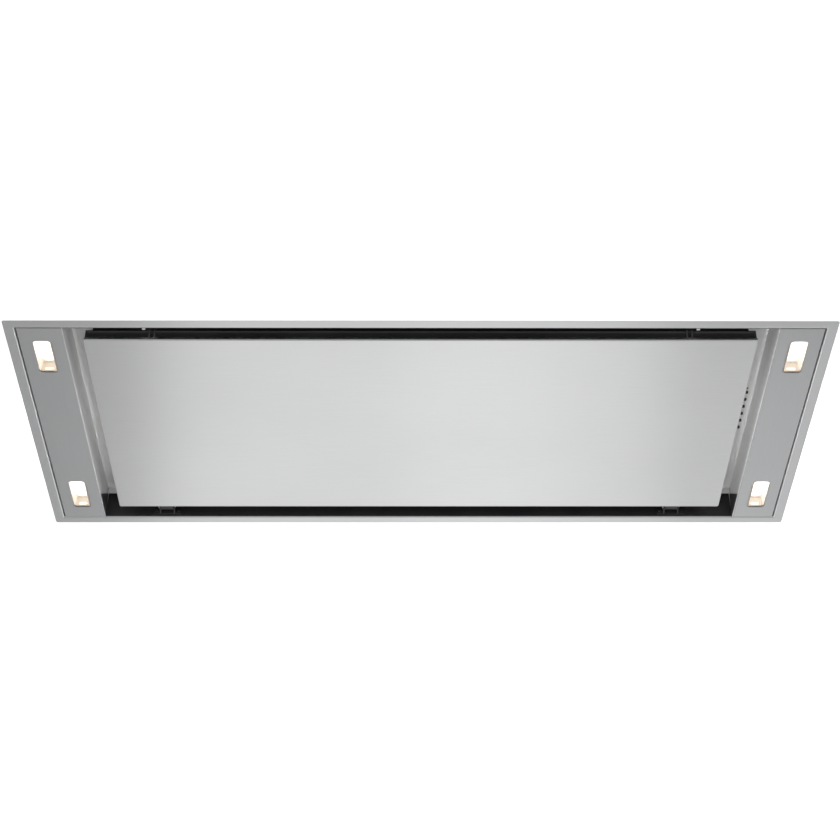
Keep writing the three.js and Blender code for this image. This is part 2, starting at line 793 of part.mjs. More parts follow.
function controlModule() {
  const bottom = deckTop + seat;
  const places = buttonPlaces();
  const wellTop = recessDepth - buttonProud + buttonHeight + buttonTravel + seat;
  const body = upright(roundedRectangle(
    controlsX - moduleWidth / 2, controlsX + moduleWidth / 2,
    indicatorY - moduleEnd, places[places.length - 1] + moduleEnd, moduleCorner), bottom, bottom + moduleHeight);
  const wellRadius = buttonRadius + buttonFlange + seat;
  const wells = places.map(
    (y) => turnedAt(disc(wellRadius, bottom - cutMargin, wellTop), controlsX, y));
  const lensTop = recessDepth - indicatorProud + indicatorHeight + seat;
  wells.push(turnedAt(disc(indicatorRadius + buttonFlange + seat, bottom - cutMargin, lensTop),
    controlsX, indicatorY));
  return piece('control_module', wells.reduce((rest, well) => rest.subtract(well), body),
    'greyPlastic');
}

// ---------------------------------------------------------------- duct collar

function ductCollar() {
  const half = collarPlateWidth / 2;
  const plate = roundedRectangle(-half, half, -half, half, collarPlateCorner);
  const inner = collarRadius - collarWall;
  const seatTop = flapZ - flapSheet / 2 - seat;
  const tube = turnedAt(washer(inner, collarRadius, collarBottom, collarTop), 0, 0, fineTurn);
  const flapSeat = turnedAt([
    [inner - flapSeatWidth, seatTop - flapSeatHeight], [inner + collarWall / 2, seatTop - flapSeatWidth],
    [inner + collarWall / 2, seatTop], [inner - flapSeatWidth, seatTop],
  ], 0, 0, fineTurn);
  const beadZ = collarTop - 2 * collarBeadHeight;
  const bead = turnedAt([
    [inner + collarWall / 2, beadZ - collarBeadHeight / 2], [collarRadius, beadZ - collarBeadHeight / 2],
    [collarRadius + collarWall, beadZ], [collarRadius, beadZ + collarBeadHeight / 2],
    [inner + collarWall / 2, beadZ + collarBeadHeight / 2],
  ], 0, 0, fineTurn);
  const bore = turnedAt(disc(inner, collarBottom - cutMargin, collarBottom + casingSheet + cutMargin),
    0, 0, fineTurn);
  const drill = turnedAlongX(
    disc(flapPinRadius + running, -collarPlateWidth, collarPlateWidth), 0, flapZ);
  return piece('duct_collar', joined([
    upright(plate, collarBottom, collarBottom + casingSheet).subtract(bore), tube, flapSeat, bead,
  ]).subtract(drill), 'galvanised');
}

function damperPin() {
  const reach = collarRadius + collarWall;
  return piece('damper_pin',
    turnedAlongX(disc(flapPinRadius, -reach, reach), 0, flapZ), 'bareSteel');
}

// A half disc with knuckles on the shared pin; the two flaps' knuckles alternate along it.
function damperFlap(name, side) {
  const inner = collarRadius - collarWall - flapRim;
  const hingeGap = knuckleRadius + seat;
  const half = new THREE.Shape();
  const start = Math.asin(hingeGap / inner);
  half.absarc(0, 0, inner, start, Math.PI - start);
  half.closePath();
  const outline = side > 0 ? half : polygon(half.getPoints(fineTurn / 2).map(({ x, y }) => [x, -y]));
  const places = Array.from({ length: knuckleCount }, (_, i) => i)
    .filter((i) => i % 2 === (side > 0 ? 0 : 1))
    .map((i) => (i - (knuckleCount - 1) / 2) * knuckleLength);
  const low = flapZ - flapSheet / 2;
  const leaves = places.map((x) => joined([
    turnedAlongX(disc(knuckleRadius, x - knuckleLength / 2 + seat, x + knuckleLength / 2 - seat),
      0, flapZ),
    block(x - knuckleLength / 2 + seat, x + knuckleLength / 2 - seat,
      side > 0 ? 0 : -hingeGap - cutMargin, side > 0 ? hingeGap + cutMargin : 0,
      low, low + flapSheet),
  ]));
  const drill = turnedAlongX(disc(flapPinRadius + running, -collarRadius, collarRadius), 0, flapZ);
  return piece(name, joined([upright(outline, low, low + flapSheet, fineTurn / 2), ...leaves]).subtract(drill),
    'galvanised');
}

// ---------------------------------------------------------------- blower

// Radius of the scroll at an angle in degrees, growing evenly from the tongue round to the outlet.
function scrollRadius(angle) {
  return scrollInnerRadius + scrollGrowth * (angle - scrollStart) / (360 - scrollStart);
}

// Scroll and outlet in YZ, drawn inset from the outer wall; the outlet ends at the given height.
function scrollOutline(inset, top) {
  const points = [];
  for (let angle = scrollStart; angle <= 360; angle += scrollStep) {
    const radius = scrollRadius(angle) - inset;
    const turn = THREE.MathUtils.degToRad(angle);
    points.push([wheelY + radius * Math.cos(turn), wheelZ + radius * Math.sin(turn)]);
  }
  points.push([wheelY + scrollOuterRadius - inset, top], [wheelY + tongueY + inset, top]);
  if (inset > 0) {
    points.push([wheelY + tongueY + inset, wheelZ + tongueZ]);
  }
  return polygon(points);
}

function scrollHousing(name, side) {
  const place = (from, to) => [Math.min(side * from, side * to), Math.max(side * from, side * to)];
  const flange = block(...place(seat / 2, scrollHalf + outletFlange),
    wheelY + tongueY - outletFlange, wheelY + scrollOuterRadius + outletFlange,
    outletTop - scrollWall, outletTop);
  const shell = alongX(scrollOutline(0, outletTop), ...place(seat / 2, scrollHalf)).add(flange)
    .subtract(alongX(scrollOutline(scrollWall, outletTop + cutMargin),
      ...place(-cutMargin, scrollHalf - scrollWall)));
  const rim = alongX(scrollOutline(-scrollFlange, outletTop - scrollFlange),
    ...place(seat / 2, seat / 2 + scrollFlangeSheet))
    .subtract(alongX(scrollOutline(scrollWall / 2, outletTop + cutMargin),
      ...place(-cutMargin, scrollHalf)));
  const inlet = turnedAlongX(disc(inletRadius, ...place(seat, scrollHalf + cutMargin)),
    wheelY, wheelZ, plainTurn);
  const bell = turnedAlongX([
    [inletRadius, side * (scrollHalf - inletLip)],
    [inletRadius + scrollWall, side * (scrollHalf - inletLip)],
    [inletRadius + inletLip, side * (scrollHalf - scrollWall)],
    [inletRadius + inletLip, side * scrollHalf],
    [inletRadius + inletLip - scrollWall, side * scrollHalf],
    [inletRadius, side * (scrollHalf - inletLip + scrollWall)],
  ], wheelY, wheelZ, plainTurn);
  const mouth = turnedAlongX(disc(inletRadius + inletLip - scrollWall / 2,
    ...place(seat, scrollHalf + cutMargin)), wheelY, wheelZ, plainTurn);
  return piece(name, joined([shell.subtract(inlet).subtract(mouth), rim, bell]), 'galvanised');
}

// Forward-curved blade in YZ: the middle line leans ahead as it goes out.
function bladeShape(angle) {
  const steps = 3;
  const side = (sign) => Array.from({ length: steps + 1 }, (_, i) => {
    const share = i / steps;
    const radius = wheelRadius - wheelDepth * (1 - share) - wheelRing / 4;
    const turn = angle + bladeLean * share ** 1.6 + sign * bladeSheet / (2 * radius);
    return [wheelY + radius * Math.cos(turn), wheelZ + radius * Math.sin(turn)];
  });
  return polygon([...side(-1), ...side(1).reverse()]);
}

function impeller() {
  const blades = Array.from({ length: bladeCount }, (_, i) => alongX(
    bladeShape(2 * Math.PI * i / bladeCount), -wheelHalf + wheelRing / 2, wheelHalf - wheelRing / 2));
  const rings = [-wheelHalf, wheelHalf - wheelRing].map((from) => turnedAlongX(
    washer(wheelRadius - wheelDepth, wheelRadius, from, from + wheelRing), wheelY, wheelZ, fineTurn));
  const hub = turnedAlongX([
    [shaftRadius + running, -hubLength / 2], [hubRadius, -hubLength / 2],
    [hubRadius, -wheelDisc / 2], [wheelRadius - wheelRing / 2, -wheelDisc / 2],
    [wheelRadius - wheelRing / 2, wheelDisc / 2], [shaftRadius + running, wheelDisc / 2],
  ], wheelY, wheelZ, fineTurn);
  return piece('impeller', joined([hub, ...blades, ...rings]), 'galvanised');
}

function motorParts() {
  const near = wheelDisc / 2 + motorHubGap;
  const far = scrollHalf;
  const shaft = turnedAlongX(
    disc(shaftRadius, -hubLength / 2 - seat, shaftLength - hubLength / 2), wheelY, wheelZ);
  const socket = disc(shaftRadius + running, near - cutMargin, shaftLength - hubLength / 2 + seat);
  const fins = Array.from({ length: motorFinCount }, (_, i) => {
    const turn = 2 * Math.PI * i / motorFinCount;
    const y = wheelY + motorRadius * Math.cos(turn);
    const z = wheelZ + motorRadius * Math.sin(turn);
    return alongX(circle(y, z, motorFinWidth / 2), near + motorBellHeight + motorFinDepth,
      far - motorBellHeight - motorFinDepth);
  });
  const core = turnedAlongX([
    [0, near], [motorBellRadius, near], [motorRadius, near + motorBellHeight],
    [motorRadius, far - motorBellHeight], [motorBellRadius, far], [0, far],
  ], wheelY, wheelZ, plainTurn).subtract(turnedAlongX(socket, wheelY, wheelZ));
  const body = fins.reduce((rest, fin) => rest.subtract(fin), core);

  const from = scrollHalf + seat;
  const to = from + spiderSheet;
  const reach = inletRadius + spiderReach;
  const ring = turnedAlongX(washer(spiderInnerRadius, motorBellRadius, from, to), wheelY, wheelZ, plainTurn);
  const arms = [90, 210, 330].map((angle) => {
    const arm = new THREE.BoxGeometry(to - from, reach - spiderInnerRadius - cutMargin, spiderArmWidth);
    arm.translate((from + to) / 2, (reach + spiderInnerRadius + cutMargin) / 2, 0);
    arm.rotateX(THREE.MathUtils.degToRad(angle));
    return solid(arm.translate(0, wheelY, wheelZ));
  });
  return [
    piece('motor_shaft', shaft, 'bareSteel'),
    piece('motor_body', body, 'aluminium'),
    piece('motor_bracket', joined([ring, ...arms]), 'galvanised'),
  ];
}

// ---------------------------------------------------------------- fittings above the ceiling

function hangingRail(name, side) {
  const x = side * (plateLength / 2 - railFromEnd);
  const bottom = casingTop + seat;
  const half = railWidth / 2;
  const top = bottom + railHeight;
  const profile = polygon([
    [-half - railFlange, bottom], [-half + railSheet, bottom], [-half + railSheet, top - railSheet],
    [half - railSheet, top - railSheet], [half - railSheet, bottom], [half + railFlange, bottom],
    [half + railFlange, bottom + railSheet], [half, bottom + railSheet], [half, top], [-half, top],
    [-half, bottom + railSheet], [-half - railFlange, bottom + railSheet],
  ].map(([offset, z]) => [x + offset, z]));
  const reach = openingY - railEndMargin;
  const slots = [-1, 1].map((end) => {
    const y = end * (reach - railSlotFromEnd);
    return upright(roundedRectangle(x - railSlotWidth / 2, x + railSlotWidth / 2,
      y - railSlotLength / 2, y + railSlotLength / 2, railSlotWidth / 2),
    top - railSheet - cutMargin, top + cutMargin);
  });
  const rail = alongY(profile, -reach, reach);
  return piece(name, slots.reduce((body, slot) => body.subtract(slot), rail), 'galvanised');
}

function terminalBox() {
  const bottom = casingTop + seat;
  const low = terminalBoxX - terminalBoxLength / 2;
  const high = terminalBoxX + terminalBoxLength / 2;
  const near = fittingY - terminalBoxWidth / 2;
  const far = fittingY + terminalBoxWidth / 2;
  const lidBottom = bottom + terminalBoxHeight - terminalBoxLid;
  const inset = terminalLidProud;
  const box = joined([
    upright(roundedRectangle(low + inset, high - inset, near + inset, far - inset,
      terminalBoxCorner - inset), bottom, lidBottom + cutMargin),
    upright(roundedRectangle(low, high, near, far, terminalBoxCorner),
      lidBottom, bottom + terminalBoxHeight),
  ]);
  const glandEnd = low + inset - seat;
  const glandZ = (bottom + lidBottom) / 2;
  const gland = turnedAlongX([
    [glandBore, glandEnd - glandLength], [glandRadius * 0.6, glandEnd - glandLength],
    [glandRadius * 0.85, glandEnd - glandLength * 0.7], [glandRadius * 0.85, glandEnd - glandLength * 0.4],
    [glandRadius, glandEnd - glandLength * 0.4], [glandRadius, glandEnd], [glandBore, glandEnd],
  ], fittingY, glandZ);
  return [piece('terminal_box', box, 'greyPlastic'), piece('cable_gland', gland, 'blackPlastic')];
}

function lampDriver() {
  const bottom = casingTop + seat;
  const body = joined([
    upright(roundedRectangle(driverX - driverLength / 2, driverX + driverLength / 2,
      fittingY - driverWidth / 2, fittingY + driverWidth / 2, driverCorner),
    bottom, bottom + driverHeight),
    block(driverX - driverLength / 2 - driverEar, driverX + driverLength / 2 + driverEar,
      fittingY - driverEar, fittingY + driverEar, bottom, bottom + railSheet),
  ]);
  return piece('lamp_driver', body, 'greyPlastic');
}

// ---------------------------------------------------------------- assembly

const hood = new THREE.Group();
hood.name = 'ceiling_range_hood';
hood.add(ceilingFrame(), bodyShell(), blowerBox());
hood.add(recessLiner('recess_liner_near', -1), recessLiner('recess_liner_far', 1));
hood.add(channelLiner('channel_liner_left', -1, []));
hood.add(channelLiner('channel_liner_right', 1, controlHoles()));
hood.add(lightCover('light_cover_left', -1), lightCover('light_cover_right', 1));
lampPlaces().forEach((place) => hood.add(...lamp(place)));
hood.add(suctionPanel(), panelBack());
hood.add(...hinge(-1, 'left'), ...hinge(1, 'right'));
hood.add(...magneticCatch(-1, 'left'), ...magneticCatch(1, 'right'));
hood.add(filterDeck());
filterPlaces().forEach((x, index) => hood.add(...greaseFilter(x, index)));
buttonPlaces().forEach((y, index) => hood.add(button(y, index)));
hood.add(indicatorLens(), controlModule());
hood.add(ductCollar(), damperPin(), damperFlap('damper_flap_near', -1), damperFlap('damper_flap_far', 1));
hood.add(scrollHousing('scroll_housing_left', -1), scrollHousing('scroll_housing_right', 1));
hood.add(impeller(), ...motorParts());
hood.add(hangingRail('hanging_rail_left', -1), hangingRail('hanging_rail_right', 1));
hood.add(...terminalBox(), lampDriver());

export default hood;
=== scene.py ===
"""Looks of a ceiling range hood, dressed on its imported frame.

The hood hangs in a white ceiling and is seen from below. The frame is in metres; the forms in this
file are drawn in millimetres and scaled when they become a piece.
"""

from __future__ import annotations

import json
import logging
import math
from dataclasses import dataclass, field
from enum import Enum
from typing import ClassVar, Sequence

import bmesh
import bpy
import numpy as np
from mathutils import Matrix, Vector

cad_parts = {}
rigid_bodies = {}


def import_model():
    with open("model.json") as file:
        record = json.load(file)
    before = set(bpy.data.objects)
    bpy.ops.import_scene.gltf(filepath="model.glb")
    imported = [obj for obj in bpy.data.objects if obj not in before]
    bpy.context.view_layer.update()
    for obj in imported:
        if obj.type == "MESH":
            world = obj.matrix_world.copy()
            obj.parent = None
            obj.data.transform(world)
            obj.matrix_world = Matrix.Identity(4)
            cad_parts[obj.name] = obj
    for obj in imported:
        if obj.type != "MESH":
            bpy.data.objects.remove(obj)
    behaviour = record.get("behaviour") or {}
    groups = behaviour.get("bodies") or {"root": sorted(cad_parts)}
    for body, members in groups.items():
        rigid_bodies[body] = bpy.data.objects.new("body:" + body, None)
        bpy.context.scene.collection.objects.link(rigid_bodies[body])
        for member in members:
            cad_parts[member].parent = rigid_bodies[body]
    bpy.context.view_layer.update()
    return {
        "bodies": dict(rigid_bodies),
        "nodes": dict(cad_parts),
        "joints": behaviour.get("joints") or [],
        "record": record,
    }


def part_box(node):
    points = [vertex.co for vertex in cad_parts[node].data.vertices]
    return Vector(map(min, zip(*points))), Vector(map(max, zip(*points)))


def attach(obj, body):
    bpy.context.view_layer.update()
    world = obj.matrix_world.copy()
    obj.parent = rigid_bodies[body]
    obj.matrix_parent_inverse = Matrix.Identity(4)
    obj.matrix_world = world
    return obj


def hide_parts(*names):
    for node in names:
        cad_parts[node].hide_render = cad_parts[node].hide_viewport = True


log = logging.getLogger("range_hood")
MM = 0.001
NEAR = 1e-6
FLAT = math.radians(0.4)
SIDES = {"left": -1, "right": 1}
SIGNS = (-1, 1)
QUARTERS = ((-1, -1), (-1, 1), (1, -1), (1, 1))
Pair = tuple[float, float]
Triple = tuple[float, float, float]
Pairs = Sequence[Sequence[float]]
Socket = bpy.types.NodeSocket


class Axis(Enum):
    """The axis that a form is carried along or turned about, or that a brushed grain follows."""

    X = 0
    Y = 1
    Z = 2


# ------------------------------------------------------------------ forms


@dataclass(frozen=True)
class Form:
    """Points in millimetres and the faces between them."""

    points: np.ndarray
    faces: tuple[np.ndarray, ...]

    def moved(self, x: float = 0.0, y: float = 0.0, z: float = 0.0) -> Form:
        """The form shifted by x, y and z."""
        return Form(self.points + np.array([x, y, z]), self.faces)

    def at(self, places: Pairs) -> list[Form]:
        """Copies of the form, one shifted to each place."""
        return [self.moved(*place) for place in places]

    def swung(self, axis: Axis, degrees: float) -> Form:
        """The form turned about an axis through the origin."""
        turn = np.array(Matrix.Rotation(math.radians(degrees), 3, axis.name))
        return Form(self.points @ turn.T, self.faces)

    def along(self, axis: Axis) -> Form:
        """The form as it is for Z, or laid along X, where (u, v, w) becomes (w, u, v)."""
        return Form(self.points[:, [2, 0, 1]], self.faces) if axis is Axis.X else self


def together(forms: Sequence[Form]) -> Form:
    """Several forms as one: the point numbers of each are raised by the count of points before it.

    Args:
        forms: at least one form.

    Returns:
        One form that holds them all.
    """
    starts = np.cumsum([0, *(len(form.points) for form in forms)])
    faces = [group + start for form, start in zip(forms, starts) for group in form.faces]
    return Form(np.vstack([form.points for form in forms]), tuple(faces))


def grid_faces(rows: int, columns: int, round_rows: bool, round_columns: bool) -> np.ndarray:
    """Four-sided faces of a grid of points that is numbered row after row.

    Args:
        rows: how many rows of points there are.
        columns: how many points a row has.
        round_rows: whether the last row joins the first.
        round_columns: whether the last column joins the first.

    Returns:
        An array of point numbers, four to a face.
    """
    i = np.arange(rows if round_rows else rows - 1)
    j = np.arange(columns if round_columns else columns - 1)
    a, b = np.meshgrid(i, j, indexing="ij")
    c, d = (a + 1) % rows, (b + 1) % columns
    corners = [a * columns + b, a * columns + d, c * columns + d, c * columns + b]
    return np.stack(corners, -1).reshape(-1, 4)


def skin(rings: Sequence[np.ndarray], closed: bool = False, start: bool = True, end: bool = True) -> Form:
    """A surface through a stack of rings with equal numbers of points.

    Args:
        rings: the rings, each of shape (points in a ring, 3).
        closed: whether the last ring joins the first, as in a frame.
        start: whether the first ring is filled with a face.
        end: whether the last ring is filled with a face.

    Returns:
        The surface as a form.
    """
    stack = np.stack(rings)
    count, around = stack.shape[:2]
    faces = [grid_faces(count, around, closed, True)]
    if not closed and start:
        faces.append(np.arange(around)[None, ::-1])
    if not closed and end:
        faces.append((count - 1) * around + np.arange(around)[None])
    return Form(stack.reshape(-1, 3), tuple(faces))


def rolled(radius: float, steps: int) -> tuple[np.ndarray, np.ndarray]:
    """How far in and up a quarter-round edge lies: radius x (1 - sine) and radius x (1 - cosine)."""
    turn = np.linspace(0, math.pi / 2, steps + 1)
    return radius * (1 - np.sin(turn)), radius * (1 - np.cos(turn))


def ring_turn(count: int) -> np.ndarray:
    """Equal steps of angle round a circle, half a step past each quarter turn."""
    return 2 * math.pi * (np.arange(count) + 0.5) / count - math.pi / 2


def circle(radius: float, count: int) -> np.ndarray:
    """Points at equal steps of angle on a circle."""
    turn = ring_turn(count)
    return radius * np.column_stack([np.cos(turn), np.sin(turn)])


def hexagon(flats: float, count: int) -> np.ndarray:
    """Points on a hexagon: the radius is half its width divided by the cosine of the angle to its flat."""
    off = (ring_turn(count) + math.pi / 6) % (math.pi / 3) - math.pi / 6
    return (flats / 2 / np.cos(off))[:, None] * circle(1.0, count)


def rounded(half: Sequence[float], radius: float, steps: int = 6) -> np.ndarray:
    """A rectangle of given half sizes with a quarter circle at each corner, anticlockwise.

    Args:
        half: half its size along X and Y.
        radius: corner radius; it is held between a thousandth and the smaller half size.
        steps: faces in each corner.

    Returns:
        Its points.
    """
    r = max(min(radius, *half), 1e-3)
    quarter = np.linspace(0, math.pi / 2, steps + 1)
    turn = (quarter[None, :] + np.array([-0.5, 0, 0.5, 1])[:, None] * math.pi).ravel()
    signs = np.repeat(np.array([[1, -1], [1, 1], [-1, 1], [-1, -1]]), steps + 1, axis=0)
    centre = signs * np.array([half[0] - r, half[1] - r])
    return centre + r * np.column_stack([np.cos(turn), np.sin(turn)])


def filleted(corners: Pairs, radius: float | Sequence[float], steps: int = 4) -> np.ndarray:
    """A loop whose corners are arcs, each touching its two edges at radius / tan(half the corner's angle).

    Args:
        corners: the corners before rounding.
        radius: one radius, or one for each corner.
        steps: faces in each arc.

    Returns:
        The points of the rounded loop, with repeats left out.
    """
    p = np.asarray(corners, float)
    r = np.broadcast_to(np.asarray(radius, float), len(p))
    back, ahead = np.roll(p, 1, 0) - p, np.roll(p, -1, 0) - p
    back /= np.linalg.norm(back, axis=1, keepdims=True)
    ahead /= np.linalg.norm(ahead, axis=1, keepdims=True)
    half = np.arccos(np.clip((back * ahead).sum(1), -0.9999999, 0.9999999)) / 2
    middle = back + ahead
    middle /= np.linalg.norm(middle, axis=1, keepdims=True) + 1e-12
    centre = p + middle * (r / np.sin(half))[:, None]
    first = p + back * (r / np.tan(half))[:, None] - centre
    last = p + ahead * (r / np.tan(half))[:, None] - centre
    start = np.arctan2(first[:, 1], first[:, 0])
    sweep = (np.arctan2(last[:, 1], last[:, 0]) - start + math.pi) % (2 * math.pi) - math.pi
    turn = start[:, None] + sweep[:, None] * np.linspace(0, 1, steps + 1)[None, :]
    arc = centre[:, None] + r[:, None, None] * np.stack([np.cos(turn), np.sin(turn)], -1)
    path = arc.reshape(-1, 2)
    return path[np.linalg.norm(path - np.roll(path, 1, 0), axis=1) > NEAR]


def offset(path: np.ndarray, by: float) -> np.ndarray:
    """A closed path moved outwards: each point goes along the mean normal of the two edges that meet there.

    Args:
        path: the path.
        by: how far it moves.

    Returns:
        The moved path.
    """
    back, ahead = path - np.roll(path, 1, 0), np.roll(path, -1, 0) - path
    sides = [np.column_stack([e[:, 1], -e[:, 0]]) for e in (back, ahead)]
    sides = [s / np.maximum(np.linalg.norm(s, axis=1, keepdims=True), 1e-9) for s in sides]
    mean = sides[0] + sides[1]
    mean /= np.maximum(np.linalg.norm(mean, axis=1, keepdims=True), 1e-9)
    stretch = np.maximum((mean * sides[0]).sum(1), 0.4)
    return path + by * mean / stretch[:, None]


def level(path: np.ndarray, height: float) -> np.ndarray:
    """A flat path as points at one height."""
    return np.column_stack([path, np.full(len(path), height)])


def loop(
    half: Sequence[float], radius: float, height: float, centre: Sequence[float] = (0, 0), steps: int = 6
) -> np.ndarray:
    """A rounded rectangle round a centre, at a height."""
    return level(rounded(half, radius, steps) + np.asarray(centre), height)


def prism(
    outline: np.ndarray, low: float, high: float, axis: Axis = Axis.Z, edge: float = 0.3, steps: int = 2
) -> Form:
    """An outline carried straight along an axis, with its two end edges rounded by quarter circles.

    Args:
        outline: anticlockwise points, (y, z) for X and (x, y) for Z.
        low: where it starts along the axis.
        high: where it ends.
        axis: the axis it runs along, X or Z.
        edge: radius of the rounded end edges.
        steps: faces in each of them.

    Returns:
        A closed form.
    """
    inset, rise = rolled(edge, steps)
    insets = np.concatenate([inset, inset[::-1]])
    heights = np.concatenate([low + rise, (high - rise)[::-1]])
    return skin([level(offset(outline, -i), z) for i, z in zip(insets, heights)]).along(axis)


def block(low: Sequence[float], high: Sequence[float], edge: float = 0.4, corner: float = 0.6) -> Form:
    """A box between two corners with rounded upright corners and rounded rims."""
    lo, hi = np.asarray(low, float), np.asarray(high, float)
    return prism(rounded((hi - lo)[:2] / 2, corner, 3) + (lo + hi)[:2] / 2, lo[2], hi[2], Axis.Z, edge)


def turned(profile: Pairs, count: int = 48, closed: bool = False) -> Form:
    """A profile of (radius, height) points turned about Z: each point becomes a circle."""
    return skin([level(circle(radius, count), z) for radius, z in profile], closed)


def framed(profile: np.ndarray, half: Sequence[float], corner: float, growth: float = 1.0) -> Form:
    """A closed profile of (outward, height) points carried round a rectangle.

    Args:
        profile: the section; outward is measured from the rectangle.
        half: half sizes of the rectangle.
        corner: corner radius where outward is nought.
        growth: how much the corner radius grows for each unit outward.

    Returns:
        A closed ring-shaped form.
    """
    rings = [loop((half[0] + o, half[1] + o), corner + growth * o, z, steps=5) for o, z in profile]
    return skin(rings, closed=True)


def pill(length: float, width: float, height: float, steps: int = 5) -> Form:
    """A pressed bead: long rings that shrink by 1 - cosine and rise by sine of one quarter turn.

    Args:
        length: length of its foot along X.
        width: width of its foot along Y.
        height: height of its crown.
        steps: faces from foot to crown.

    Returns:
        A closed form that stands on z = 0.
    """
    slope, inset = rolled(1.0, steps)
    rings = zip(width * 0.42 * inset[:-1], height * (1 - slope[:-1]))
    return skin([loop((length / 2 - i, width / 2 - i), width / 2 - i, z) for i, z in rings])


def screw(radius: float = 3.2, height: float = 2.2, socket: float = 2.6) -> Form:
    """A button-head screw: circles by cosine and sine over its crown, then hexagons down its socket.

    Args:
        radius: radius of the head.
        height: height of the head.
        socket: width of the socket across flats.

    Returns:
        A closed form that stands on z = 0.
    """
    count, crown = 24, 1.1
    turn = np.linspace(0, crown, 5)
    radii = radius * np.cos(turn * 0.75)
    heights = height * (0.35 + 0.65 * np.sin(turn) / math.sin(crown))
    rings = [level(circle(r, count), z) for r, z in zip([radius, *radii], [0.0, *heights])]
    steps = ((socket, height * 0.98), (socket * 0.97, height * 0.3))
    return skin(rings + [level(hexagon(flats, count), z) for flats, z in steps])


def hex_nut(flats: float, low: float, high: float, bore: float) -> Form:
    """A nut: hexagons outside with chamfered rims, circles for its bore.

    Args:
        flats: width across flats.
        low: where it starts.
        high: where it ends.
        bore: radius of its hole.

    Returns:
        A closed form.
    """
    count = 36
    chamfer = 0.12 * (high - low)
    hole, rim, side = circle(bore, count), circle(flats / 2, count), hexagon(flats, count)
    lower, upper = low + chamfer, high - chamfer
    steps = ((hole, low), (rim, low), (side, lower), (side, upper), (rim, high), (hole, high))
    return skin([level(path, z) for path, z in steps], closed=True)


def rivet(radius: float = 2.4, height: float = 1.0) -> Form:
    """A domed rivet head: circles whose radius is a cosine and whose height is a sine."""
    turn = np.linspace(0, 1.45, 6)
    return turned([(radius, 0.0), *zip(radius * np.cos(turn), height * (0.15 + 0.85 * np.sin(turn)))], 20)


# ------------------------------------------------------------------ finishes


class Graph:
    """The nodes of one material or world, made and joined by short calls."""

    def __init__(self, owner: bpy.types.Material | bpy.types.World) -> None:
        """Starts with an empty tree.

        Args:
            owner: the material or world that the nodes belong to.
        """
        owner.use_nodes = True
        self.owner, self.tree = owner, owner.node_tree
        self.tree.nodes.clear()

    def add(self, kind: str, values: dict | None = None, **settings: object) -> bpy.types.Node:
        """Adds a node.

        Args:
            kind: the node's type without its prefix.
            values: a number, colour or socket for each input, by name or place.
            **settings: properties of the node itself.

        Returns:
            The new node.
        """
        node = self.tree.nodes.new("ShaderNode" + kind)
        for key, value in settings.items():
            setattr(node, key, value)
        for key, value in (values or {}).items():
            if isinstance(value, Socket):
                self.tree.links.new(value, node.inputs[key])
            else:
                node.inputs[key].default_value = value
        return node

    def place(self, scale: Sequence[float] = (1, 1, 1), uv: bool = False) -> Socket:
        """Object coordinates, or the piece's brushing map, in metres times a scale.

        Args:
            scale: how much each coordinate is stretched.
            uv: whether the brushing map is meant.

        Returns:
            The place.
        """
        source = self.add("UVMap", uv_map="brushing") if uv else self.add("TexCoord")
        values = {"Vector": source.outputs["UV" if uv else "Object"], "Scale": tuple(scale)}
        return self.add("Mapping", values).outputs[0]

    def noise(self, place: Socket, scale: float, detail: float = 2.0) -> Socket:
        """Soft random values from 0 to 1."""
        return self.add("TexNoise", {"Vector": place, "Scale": scale, "Detail": detail}).outputs[0]

    def spread(self, value: Socket, low: float, high: float, start: float = 0.3, stop: float = 0.7) -> Socket:
        """A value from one range to another."""
        ranges = {"Value": value, "From Min": start, "From Max": stop, "To Min": low, "To Max": high}
        return self.add("MapRange", ranges).outputs["Result"]

    def shade(self, colour: Triple, by: Sequence[Socket]) -> Socket:
        """A colour times one or more values.

        Args:
            colour: the colour to start from.
            by: the values.

        Returns:
            The product.
        """
        result: object = (*colour, 1.0)
        for value in by:
            mix = self.add("Mix", {0: 1.0, 6: result, 7: value}, data_type="RGBA", blend_type="MULTIPLY")
            result = mix.outputs[2]
        return result

    def bump(self, height: Socket, depth: float, strength: float) -> Socket:
        """A normal that follows a height, with its depth in metres."""
        return self.add("Bump", {"Height": height, "Distance": depth, "Strength": strength}).outputs["Normal"]

    def seen(self, strength: float) -> Socket:
        """A strength for camera, glossy and transmission rays, and nought for the rest.

        Args:
            strength: the strength that those rays see.

        Returns:
            The strength for any ray.
        """
        ray = self.add("LightPath").outputs
        first = self.add("Math", {0: ray["Is Camera Ray"], 1: ray["Is Glossy Ray"]}, operation="MAXIMUM")
        both = self.add("Math", {0: first.outputs[0], 1: ray["Is Transmission Ray"]}, operation="MAXIMUM")
        return self.add("Math", {0: both.outputs[0], 1: strength}, operation="MULTIPLY").outputs[0]

    def surface(self, colour: Socket, roughness: float | Socket, values: dict) -> bpy.types.Material:
        """Ends the graph in a principled surface with the values given by their inputs' names."""
        return self.end(self.add("BsdfPrincipled", {"Base Color": colour, "Roughness": roughness, **values}))

    def end(self, shader: bpy.types.Node, output: str = "OutputMaterial") -> bpy.types.ID:
        """Joins a shader to the output and gives the material or world."""
        self.add(output, {"Surface": shader.outputs[0]})
        return self.owner


@dataclass(frozen=True)
class Finish:
    """What every finish has: its material's name, the record's slot, a colour and a roughness."""

    name: str
    slot: str
    colour: Triple
    roughness: float = 0.4

    def graph(self) -> Graph:
        """An empty graph for the finish's material."""
        return Graph(bpy.data.materials.new(self.name))


